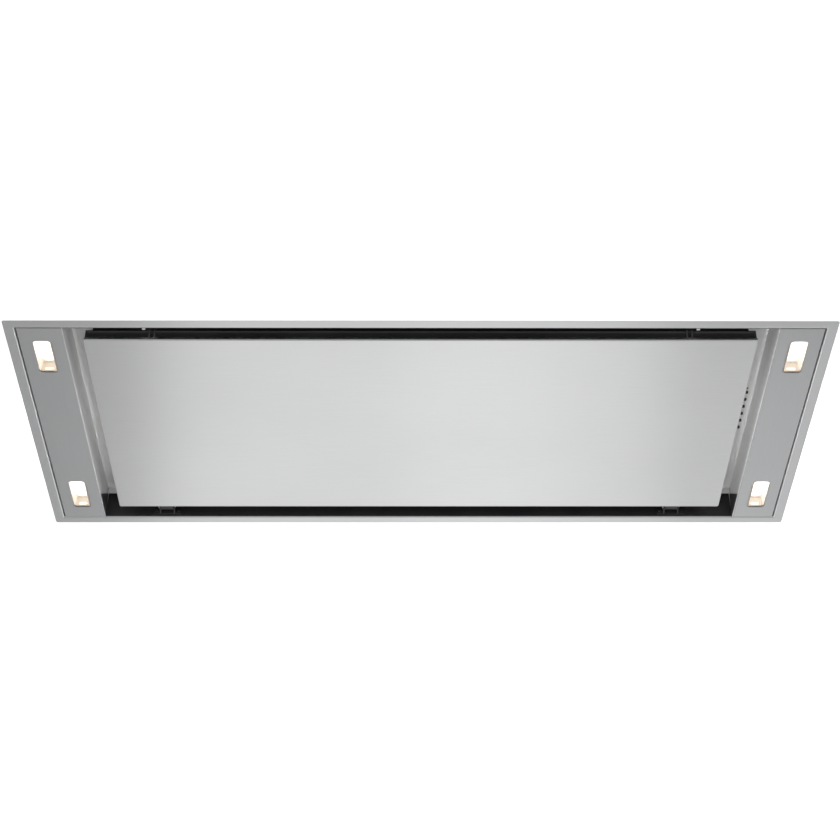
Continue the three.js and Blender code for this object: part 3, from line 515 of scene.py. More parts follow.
@dataclass(frozen=True)
class BrushedSteel(Finish):
    """Stainless sheet with a straight brushed grain that follows the piece's brushing map."""

    grain: Axis = Axis.X
    contrast: float = 0.02
    anisotropy: float = 0.8
    metallic: float = 1.0

    def make(self) -> bpy.types.Material:
        """Long fine lines shade the colour and the gloss, and cut a shallow relief across the grain.

        Returns:
            The material.
        """
        g, c = self.graph(), self.contrast
        lines = g.noise(g.place((5, 420, 1), uv=True), 1.0, 3.0)
        fine = g.noise(g.place((26, 3200, 1), uv=True), 1.0)
        cloud = g.noise(g.place((2.2, 3.4, 2.8)), 1.0)
        shares = ((lines, c / 2), (fine, 1.5 * c), (cloud, c))
        return g.surface(
            g.shade(self.colour, [g.spread(value, 1 - share, 1 + share) for value, share in shares]),
            g.spread(lines, self.roughness - 0.012, self.roughness + 0.018),
            {
                "Metallic": self.metallic,
                "Anisotropic": self.anisotropy,
                "Anisotropic Rotation": 0.25,
                "Tangent": g.add("Tangent", direction_type="UV_MAP", uv_map="brushing").outputs[0],
                "Normal": g.bump(fine, 0.00002, 0.12),
            },
        )


@dataclass(frozen=True)
class Galvanised(Finish):
    """Zinc-coated sheet: pale crystal flakes, each with its own tone and gloss."""

    flakes: float = 85.0

    def make(self) -> bpy.types.Material:
        """Cells of about a centimetre vary the colour and the roughness; a soft noise adds handling marks.

        Returns:
            The material.
        """
        g = self.graph()
        place = g.place()
        flake = g.add("TexVoronoi", {"Vector": place, "Scale": self.flakes, "Randomness": 1.0})
        tone = g.add("RGBToBW", {"Color": flake.outputs["Color"]}).outputs[0]
        cloud = g.noise(place, 7.0, 4.0)
        return g.surface(
            g.shade(self.colour, [g.spread(tone, 0.86, 1.12, 0.1, 0.9), g.spread(cloud, 0.93, 1.05)]),
            g.spread(tone, self.roughness - 0.1, self.roughness + 0.12, 0.1, 0.9),
            {"Metallic": 0.92, "Normal": g.bump(g.noise(place, 900.0), 0.00003, 0.2)},
        )


@dataclass(frozen=True)
class Coating(Finish):
    """Powder coat, moulded plastic or rubber: a stippled skin with a little dust and handling."""

    grain: float = 1300.0
    relief: float = 0.00006
    patches: float = 0.12
    metallic: ClassVar[float] = 0.0
    detail: ClassVar[float] = 2.0
    breadth: ClassVar[float] = 16.0
    speck: ClassVar[float] = 0.07
    gloss: ClassVar[tuple[float, float]] = (0.05, 0.07)
    strength: ClassVar[float] = 0.3

    def make(self) -> bpy.types.Material:
        """A fine grain gives relief and a broad noise varies the gloss and tones the colour in patches.

        Returns:
            The material.
        """
        g = self.graph()
        place = g.place()
        fine = g.noise(place, self.grain, self.detail)
        broad = g.noise(place, self.breadth, 4.0)
        shares = ((broad, self.patches), (fine, self.speck))
        return g.surface(
            g.shade(self.colour, [g.spread(value, 1 - share, 1 + share) for value, share in shares]),
            g.spread(broad, self.roughness - self.gloss[0], self.roughness + self.gloss[1]),
            {"Metallic": self.metallic, "Normal": g.bump(fine, self.relief, self.strength)},
        )


@dataclass(frozen=True)
class Metal(Coating):
    """Bare or plated metal with a fine grain and a few duller patches."""

    grain: float = 700.0
    relief: float = 0.00003
    patches: float = 0.08
    metallic: ClassVar[float] = 1.0
    detail: ClassVar[float] = 3.0
    breadth: ClassVar[float] = 24.0
    speck: ClassVar[float] = 0.05
    gloss: ClassVar[tuple[float, float]] = (0.06, 0.1)
    strength: ClassVar[float] = 0.25


@dataclass(frozen=True)
class ClearGlass(Finish):
    """Clear lamp glass whose inside is lightly prismatic."""

    def make(self) -> bpy.types.Material:
        """A shallow wave gives the glass its prismatic ripple, and a noise its faint unevenness.

        Returns:
            The material.
        """
        g = self.graph()
        place = g.place()
        wave = g.add("TexWave", {"Vector": place, "Scale": 150.0, "Distortion": 0.4}, bands_direction="Y")
        haze = g.spread(g.noise(place, 60.0), self.roughness - 0.03, self.roughness + 0.04)
        values = {"IOR": 1.46, "Transmission Weight": 1.0, "Normal": g.bump(wave.outputs[0], 0.0002, 0.15)}
        return g.surface((*self.colour, 1.0), haze, values)


@dataclass(frozen=True)
class Glow(Finish):
    """A glowing surface of small round cells: the lamp's light source, and the painted highlights on the
    reflector's end walls.
    """

    strength: float = 1.0
    cells: float = 260.0

    def make(self) -> bpy.types.Material:
        """Small round cells vary the strength a little: for the lamp each is a light source, for the
        reflector's spots a fleck of painted highlight.

        Returns:
            The material.
        """
        g = self.graph()
        cells = g.add("TexVoronoi", {"Vector": g.place(), "Scale": self.cells, "Randomness": 0.0})
        cell = cells.outputs["Distance"]
        glow = g.spread(cell, self.strength * 1.08, self.strength * 0.85, 0.0, 0.7)
        base = g.shade(self.colour, [g.spread(cell, 1.0, 0.9, 0.0, 0.7)])
        values = {"Emission Color": (*self.colour, 1.0), "Emission Strength": glow}
        return g.surface(base, self.roughness, values)


@dataclass(frozen=True)
class LitBowl(Finish):
    """The inside of a lamp: a cream reflector with painted glow, its long sides glowing more than its ends.
    """

    glow: Triple = (1.0, 0.97, 0.90)
    strength: float = 0.5

    def make(self) -> bpy.types.Material:
        """The painted glow follows the piece's own weight; a fine hammering breaks it up.

        Returns:
            The material.
        """
        g = self.graph()
        share = g.add("Attribute", attribute_name="side_glow").outputs["Fac"]
        hammer = g.add("TexVoronoi", {"Vector": g.place(), "Scale": 420.0}).outputs["Distance"]
        return g.surface(
            g.shade(self.colour, [g.spread(hammer, 0.95, 1.0, 0.0, 0.6)]),
            self.roughness,
            {
                "Metallic": 0.35,
                "Normal": g.bump(hammer, 0.0002, 0.2),
                "Emission Color": (*self.glow, 1.0),
                "Emission Strength": g.spread(share, 0.0, self.strength, 0.0, 1.0),
            },
        )


@dataclass(frozen=True)
class Backdrop(Finish):
    """A white surface that keeps shadows and looks white to the camera and in metal and glass."""

    glow: float = 0.0

    def make(self) -> bpy.types.Material:
        """A matt white plus a glow that only camera, glossy and transmission rays see.

        Returns:
            The material.
        """
        g = self.graph()
        colour = g.shade(self.colour, [g.spread(g.noise(g.place(), 3.0), 0.995, 1.0)])
        matt = g.add("BsdfDiffuse", {"Color": colour})
        glow = g.add("Emission", {"Strength": g.seen(self.glow)})
        return g.end(g.add("AddShader", {0: matt.outputs[0], 1: glow.outputs[0]}))


FINISHES = {
    "border": BrushedSteel("brushed_border", "stainless_border", (0.62, 0.625, 0.63), 0.32),
    "panel": BrushedSteel("brushed_panel", "stainless_panel", (0.66, 0.665, 0.665), 0.30),
    "cover": BrushedSteel("brushed_cover", "stainless_cover", (0.405, 0.41, 0.414), 0.30, Axis.Y),
    "channel": BrushedSteel(
        "brushed_channel", "stainless_channel", (0.86, 0.86, 0.855), 0.5, Axis.Y, 0.04, 0.3, 0.25
    ),
    "black_steel": Coating("black_powder_coat", "black_steel", (0.038, 0.038, 0.04), 0.42, 900.0, 0.0001),
    # Painted highlight: a paler copy of the black coat, so the gussets read as lit bands in the dark slot.
    "painted_highlight_steel": Coating("worn_black_coat", "black_steel", (0.11, 0.11, 0.112), 0.4, 900.0, 0.0001),
    "galvanised": Galvanised("galvanised_sheet", "galvanised_casing", (0.50, 0.52, 0.535), 0.42),
    "steel": Metal("plated_steel", "bare_steel", (0.56, 0.56, 0.55), 0.32),
    "aluminium": Metal("aluminium_mesh", "filter_aluminium", (0.66, 0.665, 0.67), 0.38, 1100.0),
    "cast": Metal("cast_aluminium", "lamp_reflector", (0.46, 0.465, 0.47), 0.5, 420.0, patches=0.12),
    "black_plastic": Coating("black_moulding", "black_plastic", (0.014, 0.014, 0.015), 0.38, 1700.0, 0.00004),
    "grey_plastic": Coating("grey_moulding", "grey_plastic", (0.27, 0.28, 0.29), 0.5, 1500.0, 0.00006),
    # A real seal ring, whose colour also paints the shadow line on the lens's inner side.
    "seal": Coating("lamp_seal", "black_plastic", (0.36, 0.31, 0.29), 0.55, 1100.0, 0.00008),
    "ferrite": Coating("ferrite_magnet", "catch_magnet", (0.035, 0.036, 0.04), 0.68, 800.0, 0.00012, 0.25),
    "lens": Coating("indicator_lens", "indicator_lens", (0.05, 0.012, 0.01), 0.16, 600.0, 0.00003),
    "glass": ClearGlass("lamp_glass", "lamp_glass", (1.0, 0.985, 0.955), 0.05),
    # Painted glow: the reflector emits light on its long walls.
    "reflector": LitBowl("lit_reflector", "lamp_reflector", (0.78, 0.70, 0.615), 0.3),
    "glow": Glow("lamp_light", "lamp_glass", (1.0, 0.985, 0.955), strength=1.15),
    # Painted highlight: glowing patches on the reflector's end walls.
    "spot": Glow("lamp_spot", "lamp_reflector", (1.0, 0.96, 0.89), strength=0.45),
    "ceiling": Backdrop("white_ceiling", "", (0.86, 0.86, 0.86), glow=0.62),
    "board": Backdrop("white_board", "", (0.84, 0.84, 0.84), glow=0.22),
    "floor": Backdrop("pale_floor", "", (0.60, 0.60, 0.60)),
}


# ------------------------------------------------------------------ workshop


def span(node: str) -> tuple[np.ndarray, np.ndarray]:
    """Lowest and highest corner of a node in millimetres."""
    low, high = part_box(node)
    return np.array(low) / MM, np.array(high) / MM


def plan(node: str) -> tuple[np.ndarray, np.ndarray]:
    """Centre and half size of a node along X and Y, in millimetres."""
    low, high = span(node)
    return (low + high)[:2] / 2, (high - low)[:2] / 2


@dataclass
class Workshop:
    """Turns forms and nodes into finished pieces on the frame."""

    frame: dict
    made: dict = field(default_factory=dict)
    crisp: float = 32.0
    heavy: int = 20000

    def material(self, finish: str) -> bpy.types.Material:
        """The material of a finish, made when it is first asked for.

        Args:
            finish: the name of the finish.

        Returns:
            The material.
        """
        if finish not in self.made:
            self.made[finish] = FINISHES[finish].make()
        return self.made[finish]

    def points(self, mesh: bpy.types.Mesh) -> np.ndarray:
        """The points of a mesh in metres.

        Args:
            mesh: the mesh.

        Returns:
            Its points, one to a row.
        """
        flat = np.zeros(len(mesh.vertices) * 3)
        mesh.vertices.foreach_get("co", flat)
        return flat.reshape(-1, 3)

    def brushing(self, mesh: bpy.types.Mesh, grain: Axis) -> None:
        """Writes the brushing map: u runs along the grain and v across it, both in metres.

        Args:
            mesh: the mesh that gets the map.
            grain: which way the grain runs, X or Y.
        """
        corner = np.zeros(len(mesh.loops), np.int32)
        mesh.loops.foreach_get("vertex_index", corner)
        p = self.points(mesh)[corner]
        layer = mesh.uv_layers.new(name="brushing")
        uv = np.column_stack([p[:, grain.value], p[:, 1 - grain.value] + p[:, 2]])
        layer.data.foreach_set("uv", uv.ravel())

    def mesh(self, name: str, form: Form, open_sheet: bool = False) -> bpy.types.Mesh:
        """A form as a mesh in metres.

        Args:
            name: the mesh's name.
            form: its points and faces in millimetres.
            open_sheet: whether it is an open surface, which then faces down and not outwards.

        Returns:
            The mesh, with repeated points merged.
        """
        mesh = bpy.data.meshes.new(name)
        faces = [face for group in form.faces for face in group.tolist()]
        mesh.from_pydata((form.points * MM).tolist(), [], faces)
        work = bmesh.new()
        work.from_mesh(mesh)
        bmesh.ops.remove_doubles(work, verts=work.verts, dist=NEAR)
        bmesh.ops.recalc_face_normals(work, faces=work.faces)
        if open_sheet and sum(f.normal.z * f.calc_area() for f in work.faces) > 0:
            bmesh.ops.reverse_faces(work, faces=work.faces)
        work.to_mesh(mesh)
        work.free()
        return mesh

    def shown(self, mesh: bpy.types.Mesh) -> bpy.types.Object:
        """An object in the scene that shows a mesh.

        Args:
            mesh: the mesh.

        Returns:
            The new object.
        """
        obj = bpy.data.objects.new(mesh.name, mesh)
        bpy.context.scene.collection.objects.link(obj)
        return obj

    def smoothed(self, mesh: bpy.types.Mesh, crisp: float) -> bpy.types.Object:
        """The mesh as a smooth object whose edges stay crisp where they turn by more than an angle.

        Args:
            mesh: the mesh.
            crisp: the angle in degrees.

        Returns:
            The new object.
        """
        mesh.shade_smooth()
        mesh.set_sharp_from_angle(angle=math.radians(crisp))
        return self.shown(mesh)

    def finish(self, obj: bpy.types.Object, finish: str, body: str, node: str, slot: str) -> bpy.types.Object:
        """Gives a piece its material, its map and its body, and reports it.

        Args:
            obj: the piece.
            finish: the name of its finish.
            body: the body that it rides on.
            node: the CAD node that it stands for, or nothing.
            slot: the record's material slot where it isn't the finish's own; not used.

        Returns:
            The finished object.
        """
        look = FINISHES[finish]
        if isinstance(look, BrushedSteel):
            self.brushing(obj.data, look.grain)
        obj.data.materials.clear()
        obj.data.materials.append(self.material(finish))
        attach(obj, body)
        if node:
            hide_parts(node)
        log.info("%s: %d faces, %s, on %s", obj.name, len(obj.data.polygons), finish, body)
        return obj

    def piece(
        self, name: str, forms: Sequence[Form], finish: str, body: str = "root", node: str = "",
        crisp: float = 0.0, sheet: float = 0.0,
    ) -> bpy.types.Object:
        """Makes a piece from forms.

        Args:
            name: the piece's name.
            forms: its points and faces in millimetres.
            finish: the name of its finish.
            body: the body that it rides on.
            node: the CAD node that it stands for.
            crisp: edges sharper than this angle in degrees stay crisp.
            sheet: thickness in millimetres that an open surface gets behind its face.

        Returns:
            The finished object.
        """
        obj = self.smoothed(self.mesh(name, together(forms), sheet > 0), crisp or self.crisp)
        if sheet:
            wall = obj.modifiers.new("sheet", "SOLIDIFY")
            wall.thickness, wall.offset, wall.use_even_offset = sheet * MM, -1.0, True
        if len(obj.data.polygons) < self.heavy:
            flats = obj.modifiers.new("flats", "WEIGHTED_NORMAL")
            flats.mode, flats.weight, flats.keep_sharp = "FACE_AREA", 80, True
        return self.finish(obj, finish, body, node, "")

    def refined(
        self, node: str, finish: str, body: str = "root", edge: float = 0.25,
        crisp: float = 0.0, slot: str = "",
    ) -> bpy.types.Object:
        """A copy of a node with its loose triangles merged, its flats joined and its edges rounded.

        Args:
            node: the CAD node that the piece stands for.
            finish: the name of its finish.
            body: the body that it rides on.
            edge: width of the rounded edges in millimetres.
            crisp: edges sharper than this angle in degrees are rounded.
            slot: the record's material slot where it isn't the finish's own.

        Returns:
            The finished object.
        """
        mesh = self.frame["nodes"][node].data.copy()
        mesh.name = node + "_skin"
        for layer in list(mesh.uv_layers):
            mesh.uv_layers.remove(layer)
        work = bmesh.new()
        work.from_mesh(mesh)
        bmesh.ops.remove_doubles(work, verts=work.verts, dist=2 * NEAR)
        bmesh.ops.dissolve_limit(
            work, angle_limit=FLAT, verts=work.verts, edges=work.edges, use_dissolve_boundaries=False
        )
        work.to_mesh(mesh)
        work.free()
        obj = self.smoothed(mesh, crisp or self.crisp)
        if edge:
            bevel = obj.modifiers.new("edges", "BEVEL")
            bevel.width, bevel.segments, bevel.harden_normals = edge * MM, 2, True
            bevel.limit_method, bevel.angle_limit = "ANGLE", math.radians(crisp or self.crisp)
        return self.finish(obj, finish, body, node, slot)


@dataclass
class Assembly:
    """What every sub-assembly has: the workshop that makes its pieces."""

    shop: Workshop


# ------------------------------------------------------------------ underside


@dataclass
class CeilingBorder(Assembly):
    """The border on the ceiling: level next to the opening, then rising to the ceiling, with its upstand."""

    width: float = 16.0
    level_part: float = 7.0
    rise: float = 0.2
    edge: float = 0.6
    sheet: float = 1.2
    inner_bend: float = 2.2
    upstand: float = 18.0
    corner: float = 0.8
    growth: float = 0.18

    def build(self) -> None:
        """Carries the section round the opening; its corners widen from mitred to the plate's own radius."""
        half = plan("ceiling_frame")[1] - self.width
        back = self.rise + self.edge
        section = filleted(
            [
                (0, self.upstand), (0, 0), (self.level_part, 0), (self.width, self.rise),
                (self.width, back), (self.sheet, back), (self.sheet, self.upstand),
            ],
            [0.3, self.inner_bend, 6.0, 0.25, 0.1, self.inner_bend - self.sheet, 0.3],
            5,
        )
        border = framed(section, half, self.corner, self.growth)
        self.shop.piece("ceiling_border", [border], "border", node="ceiling_frame", crisp=24.0)


@dataclass
class SuctionPanel(Assembly):
    """The hinged panel: a flat skin with rolled edges and a lip, and the black back behind it."""

    bend: float = 1.7
    sheet: float = 1.0
    corner: float = 2.6
    lip: float = 5.0
    bead: Triple = (300, 14, 1.4)
    bead_x: float = 235.0
    bead_rows: Triple = (-120, 0, 120)
    flare_reach: float = 3.4
    flare_foot: float = 6.0
    flare_height: float = 8.5
    hem: float = 1.0
    root: float = 0.3
    gusset_reach: float = 5.0
    gusset_half: float = 0.9
    gusset_foot: float = 3.0
    gusset_steps: Pair = (5.5, 13.0)

    def build(self) -> None:
        """Makes the skin, the back, its beads, its hem and the gussets."""
        self.skin()
        self.shop.refined("panel_back", "black_steel", "panel", 0.5)
        self.beads()
        self.near_edge()

    def skin(self) -> None:
        """Rings go out over the flat, round the bend and up the lip."""
        centre, half = plan("suction_panel")
        inset, rise = rolled(self.bend, 8)
        rings = zip([self.bend * 3, self.bend + 0.3, *inset, 0.0], [0.0, 0.0, *rise, self.lip])
        form = skin([loop(half - i, max(self.corner - i, 0.4), z, centre) for i, z in rings], end=False)
        self.shop.piece("suction_panel_skin", [form], "panel", "panel", "suction_panel", sheet=self.sheet)

    def beads(self) -> None:
        """Long beads stiffen the back, with one across its middle."""
        top = span("panel_back")[1][2] - 0.05
        bead = pill(*self.bead)
        beads = bead.at([(x, y, top) for x in (-self.bead_x, self.bead_x) for y in self.bead_rows])
        beads.append(bead.swung(Axis.Z, 90).moved(z=top))
        self.shop.piece("panel_back_beads", beads, "black_steel", "panel")

    def near_edge(self) -> None:
        """The near edge flares out by a quarter circle; two slanted gussets stand beside each catch."""
        low, high = span("panel_back")
        wall, inside = low[1], low[1] + self.root
        foot, top = self.flare_foot, self.flare_foot + self.flare_height + self.hem
        slope, out = rolled(1.0, 6)
        curve = np.column_stack([wall - self.flare_reach * out, foot + self.flare_height * (1 - slope)])
        rest = np.array([[wall - self.flare_reach, top], [inside, top], [inside, foot]])
        hem = prism(np.vstack([curve, rest])[::-1], low[0] + 3, high[0] - 3, Axis.X, 0.2, 1)
        self.shop.piece("panel_back_hem", [hem], "black_steel", "panel")
        tip = foot - self.gusset_foot
        reach = wall - self.gusset_reach
        face = np.array([[wall - self.root, tip], [inside, tip], [inside, top], [reach, top]])
        gussets = []
        for place, side in SIDES.items():
            middle = plan(f"catch_bracket_{place}")[0][0]
            for x in (middle - side * step for step in self.gusset_steps):
                gussets.append(prism(face, x - self.gusset_half, x + self.gusset_half, Axis.X, 0.15, 1))
        # The gussets take the paler black coat, a painted highlight.
        self.shop.piece("panel_back_gussets", gussets, "painted_highlight_steel", "panel")


@dataclass
class LightCover(Assembly):
    """A light strip: a pan with a bent rim, pierced for two lamps, and the strip that its edge rests on."""

    place: str
    bend: float = 0.7
    sheet: float = 1.0
    lamp_wall: float = 3.2
    lamp_corner: float = 5.3
    margin: float = 3.0
    hole_edge: float = 0.2
    hole_lip: float = 0.6
    cells: int = 12
    rest: Pair = (-0.1, 4.0)
    rest_height: Pair = (6.6, 7.6)

    def build(self) -> None:
        """Makes the pan and its rest."""
        cover = f"light_cover_{self.place}"
        self.shop.piece(
            f"light_strip_{self.place}", self.pan(), "cover", node=cover, crisp=40.0, sheet=self.sheet
        )
        outer = span("ceiling_frame")[1][0] - CeilingBorder.width
        reach = span(cover)[1][1]
        x0, x1 = sorted(SIDES[self.place] * (outer - inset) for inset in self.rest)
        rest = block((x0, -reach, self.rest_height[0]), (x1, reach, self.rest_height[1]), 0.2, 0.3)
        self.shop.piece(f"cover_rest_{self.place}", [rest], "channel")

    def pan(self) -> list[Form]:
        """A flat grid without the cells at the lamps, a patch round each lamp and a bent rim.

        Returns:
            Open surfaces that meet edge to edge.
        """
        low, high = span(f"light_cover_{self.place}")
        holes = [plan(f"lamp_housing_{end}_{self.place}") for end in ("near", "far")]
        half = holes[0][1] - self.lamp_wall
        void = half + self.margin
        steps = np.linspace(-1, 1, self.cells + 1)
        xs = np.array([low[0] + self.bend, *(holes[0][0][0] + void[0] * steps), high[0] - self.bend])
        rows = [centre[1] + void[1] * steps for centre, _ in holes]
        ys = np.concatenate([[low[1] + self.bend], *rows, [high[1] - self.bend]])
        gx, gy = np.meshgrid(xs, ys)
        flat = level(np.column_stack([gx.ravel(), gy.ravel()]), 0.0)
        faces = grid_faces(len(ys), len(xs), False, False)
        for centre, _ in holes:
            faces = faces[(np.abs(flat[faces].mean(1)[:, :2] - centre) > void).any(1)]
        patches = [self.hole(centre, half, void) for centre, _ in holes]
        return [Form(flat, (faces,)), *patches, self.rim(xs, ys, high[2])]

    def hole(self, centre: np.ndarray, half: np.ndarray, void: np.ndarray) -> Form:
        """The patch round one lamp hole and the hole's own turned-up edge.

        It joins each point (x, y) of the square hole in the grid to the nearest point of the rounded hole,
        which is the point clamped to the hole's inner rectangle plus its corner radius outwards.

        Args:
            centre: the hole's centre.
            half: its half size.
            void: half size of the square hole in the grid.

        Returns:
            An open surface.
        """
        steps = np.linspace(-1, 1, self.cells + 1)
        border = self.border(centre[0] + void[0] * steps, centre[1] + void[1] * steps)[0]
        inner = half - self.lamp_corner
        held = np.clip(border - centre, -inner, inner)
        out = border - centre - held
        out /= np.linalg.norm(out, axis=1, keepdims=True)
        grow, rise = rolled(self.hole_edge, 4)
        rings = zip([*grow, 0.0], [*rise, self.hole_lip])
        edge = [level(centre + held + out * (self.lamp_corner + g), z) for g, z in rings]
        return skin([level(border, 0.0), *edge], start=False, end=False)

    def border(self, xs: np.ndarray, ys: np.ndarray) -> tuple[np.ndarray, np.ndarray]:
        """Points round a grid's edge, and the way out from each.

        Args:
            xs: the grid's lines along X.
            ys: the grid's lines along Y.

        Returns:
            The points and the ways, one to a row.
        """
        sides = ((xs, ys[:1]), (xs[-1:], ys), (xs[::-1], ys[-1:]), (xs[:1], ys[::-1]))
        points = np.concatenate([np.column_stack(np.broadcast_arrays(x, y))[:-1] for x, y in sides])
        ends = ((points[:, 0], xs), (points[:, 1], ys))
        out = [(np.abs(p - line[-1]) < NEAR) * 1.0 - (np.abs(p - line[0]) < NEAR) for p, line in ends]
        return points, np.column_stack(out)

    def rim(self, xs: np.ndarray, ys: np.ndarray, top: float) -> Form:
        """The grid's edge moved out by sine and up by 1 - cosine of a quarter turn, then straight up.

        Args:
            xs: the grid's lines along X.
            ys: the grid's lines along Y.
            top: height of the rim.

        Returns:
            An open surface.
        """
        points, out = self.border(xs, ys)
        inset, rise = rolled(self.bend, 6)
        rings = zip([*(self.bend - inset), self.bend], [*rise, top])
        return skin([level(points + out * reach, z) for reach, z in rings], start=False, end=False)


@dataclass
class Lamp(Assembly):
    """An oblong lamp: clear glass in a dark seal, a cream reflector and its light source, a finned can."""

    place: str
    corner: float = 5.0
    plug_wall: float = 2.0
    face_edge: float = 0.7
    step: float = 1.3
    flange: float = 1.9
    back_rim: float = 1.0
    seal: Pair = (1.3, 0.15)
    seal_outer: float = 0.2
    bowl_wall: float = 0.6
    bowl_depth: float = 17.0
    bowl_reach: float = 1.6
    roof_edge: Pair = (0.6, 3.0)
    spot: Triple = (14.0, 7.0, 0.5)
    spot_height: float = 4.2
    painted_shadow_shift: float = 0.7
    can_wall: float = 1.4
    fins: int = 6
    fin_half: float = 0.7
    fin_side: float = 5.0
    fin_end: float = 6.0
    fin_depth: float = 9.0

    def build(self) -> None:
        """Makes the glass and its seal, the inside and the can."""
        self.centre, half = plan(f"lamp_glass_{self.place}")
        self.plug = half - self.plug_wall
        self.glass()
        self.inside()
        self.can()

    def ring(self, grow: float, height: float, lens: bool = False) -> np.ndarray:
        """The lamp's outline, grown, at a height; the lens is set in by the seal and shifted outwards, so the
        seal is wider on the inner side: a painted shadow line.

        Args:
            grow: how far the outline grows.
            height: its height.
            lens: whether it is the lens's outline.

        Returns:
            The points of the outline.
        """
        # Painted shadow: the lens moves outwards so the seal is wider on the inner side, where the shadow gap
        # is.
        shift = (math.copysign(self.painted_shadow_shift, self.centre[0]), 0.0) if lens else (0.0, 0.0)
        half = self.plug + grow - (self.seal if lens else (0.0, 0.0))
        return loop(half, max(self.corner + grow, 0.8), height, self.centre + shift, 8)

    def glass(self) -> None:
        """The glass is a stack of rings with a softened face and a flange; its seal is wider on the inner
        side, a dark band that paints the shadow gap there.
        """
        low, high = (corner[2] for corner in span(f"lamp_glass_{self.place}"))
        step, flange, outer = self.step, self.flange, self.seal_outer
        inset, rise = rolled(self.face_edge, 4)
        rings = [self.ring(-i, low + z, True) for i, z in zip(inset, rise)]
        rings += [self.ring(0.0, step, True), self.ring(flange, step)]
        rings += [self.ring(flange, high), self.ring(self.back_rim, high)]
        name = f"lamp_glass_{self.place}"
        self.shop.piece(f"{name}_lens", [skin(rings)], "glass", node=name)
        # The seal: a real ring, widened on the inner side as a painted shadow line.
        rings = [
            self.ring(0.05, low + 0.1, True), self.ring(0.0, low - 0.1), self.ring(outer, low + 0.3),
            self.ring(outer, step - 0.05), self.ring(0.05, step - 0.05, True),
        ]
        self.shop.piece(f"lamp_seal_{self.place}", [skin(rings, closed=True)], "seal")

    def inside(self) -> None:
        """Steep walls with painted glow rise to a rounded edge and a flat roof; the light source lies under
        the roof, and two spots on the end walls are a painted highlight.
        """
        centre, half = self.centre, self.plug - self.bowl_wall
        foot = span(f"lamp_housing_{self.place}")[0][2] + 0.1
        depth, reach = self.bowl_depth, self.bowl_reach
        slope, inset = rolled(1.0, 5)
        insets = [-2.0, 0.0, reach * 0.5, *(reach * (0.6 + 0.9 * inset))]
        walls = zip(insets, [0.0, 0.0, depth * 0.5, *(depth - 2 * slope)])
        rings = [loop(half - i, max(self.corner - i, 0.8), foot + z, centre, 8) for i, z in walls]
        form = skin(rings, start=False)
        bowl = self.shop.piece(f"lamp_bowl_{self.place}", [form], "reflector", sheet=self.bowl_wall)
        # Painted glow: the weight is one along the long walls and falls to nought near the ends.
        off = np.abs(self.shop.points(bowl.data)[:, 1] / MM - centre[1]) - half[1]
        weight = bowl.data.attributes.new("side_glow", "FLOAT", "POINT")
        weight.data.foreach_set("value", (1 - np.clip(off / reach + 2, 0, 1)).astype(np.float32))
        roof, top = half - reach - self.roof_edge, foot + depth
        strip = prism(rounded(roof, roof[0], 10) + centre, top - 1.0, top + 0.3, Axis.Z, 0.5, 3)
        self.shop.piece(f"lamp_source_{self.place}", [strip], "glow")
        # Painted highlight: two glowing patches on the reflector's end walls.
        spot = pill(*self.spot, 4)
        height, reach = foot - 0.1 + self.spot_height, half[1] - 0.5
        spots = [spot.swung(Axis.X, 88 * s).moved(centre[0], centre[1] + s * reach, height) for s in SIGNS]
        self.shop.piece(f"lamp_spots_{self.place}", spots, "spot")

    def can(self) -> None:
        """The can is an open box on the glass, with a top and cooling fins along it."""
        name = f"lamp_housing_{self.place}"
        low, high = span(name)
        centre, half = plan(name)
        wall, top = self.can_wall, high[2]
        steps = (
            (wall, 6.5, low[2]), (0, 8, low[2]), (0, 8, top - 8.6), (0.6, 7.5, top - 8),
            (4, 6, top - 8), (wall + 3, 4, top - 9.4), (wall, 6.5, top - 9.8),
        )
        shell = skin([loop(half - inset, corner, z, centre) for inset, corner, z in steps], closed=True)
        lid = prism(rounded(half - 3, 5) + centre, top - 9.3, top - 7.8)
        start = (-self.fin_half, low[1] + self.fin_end, top - self.fin_depth)
        fin = block(start, (self.fin_half, high[1] - self.fin_end, top), 0.2, 0.5)
        xs = np.linspace(low[0] + self.fin_side, high[0] - self.fin_side, self.fins)
        fins = fin.at([(x, 0) for x in xs])
        self.shop.piece(f"lamp_can_{self.place}", [shell, lid, *fins], "cast", node=name)


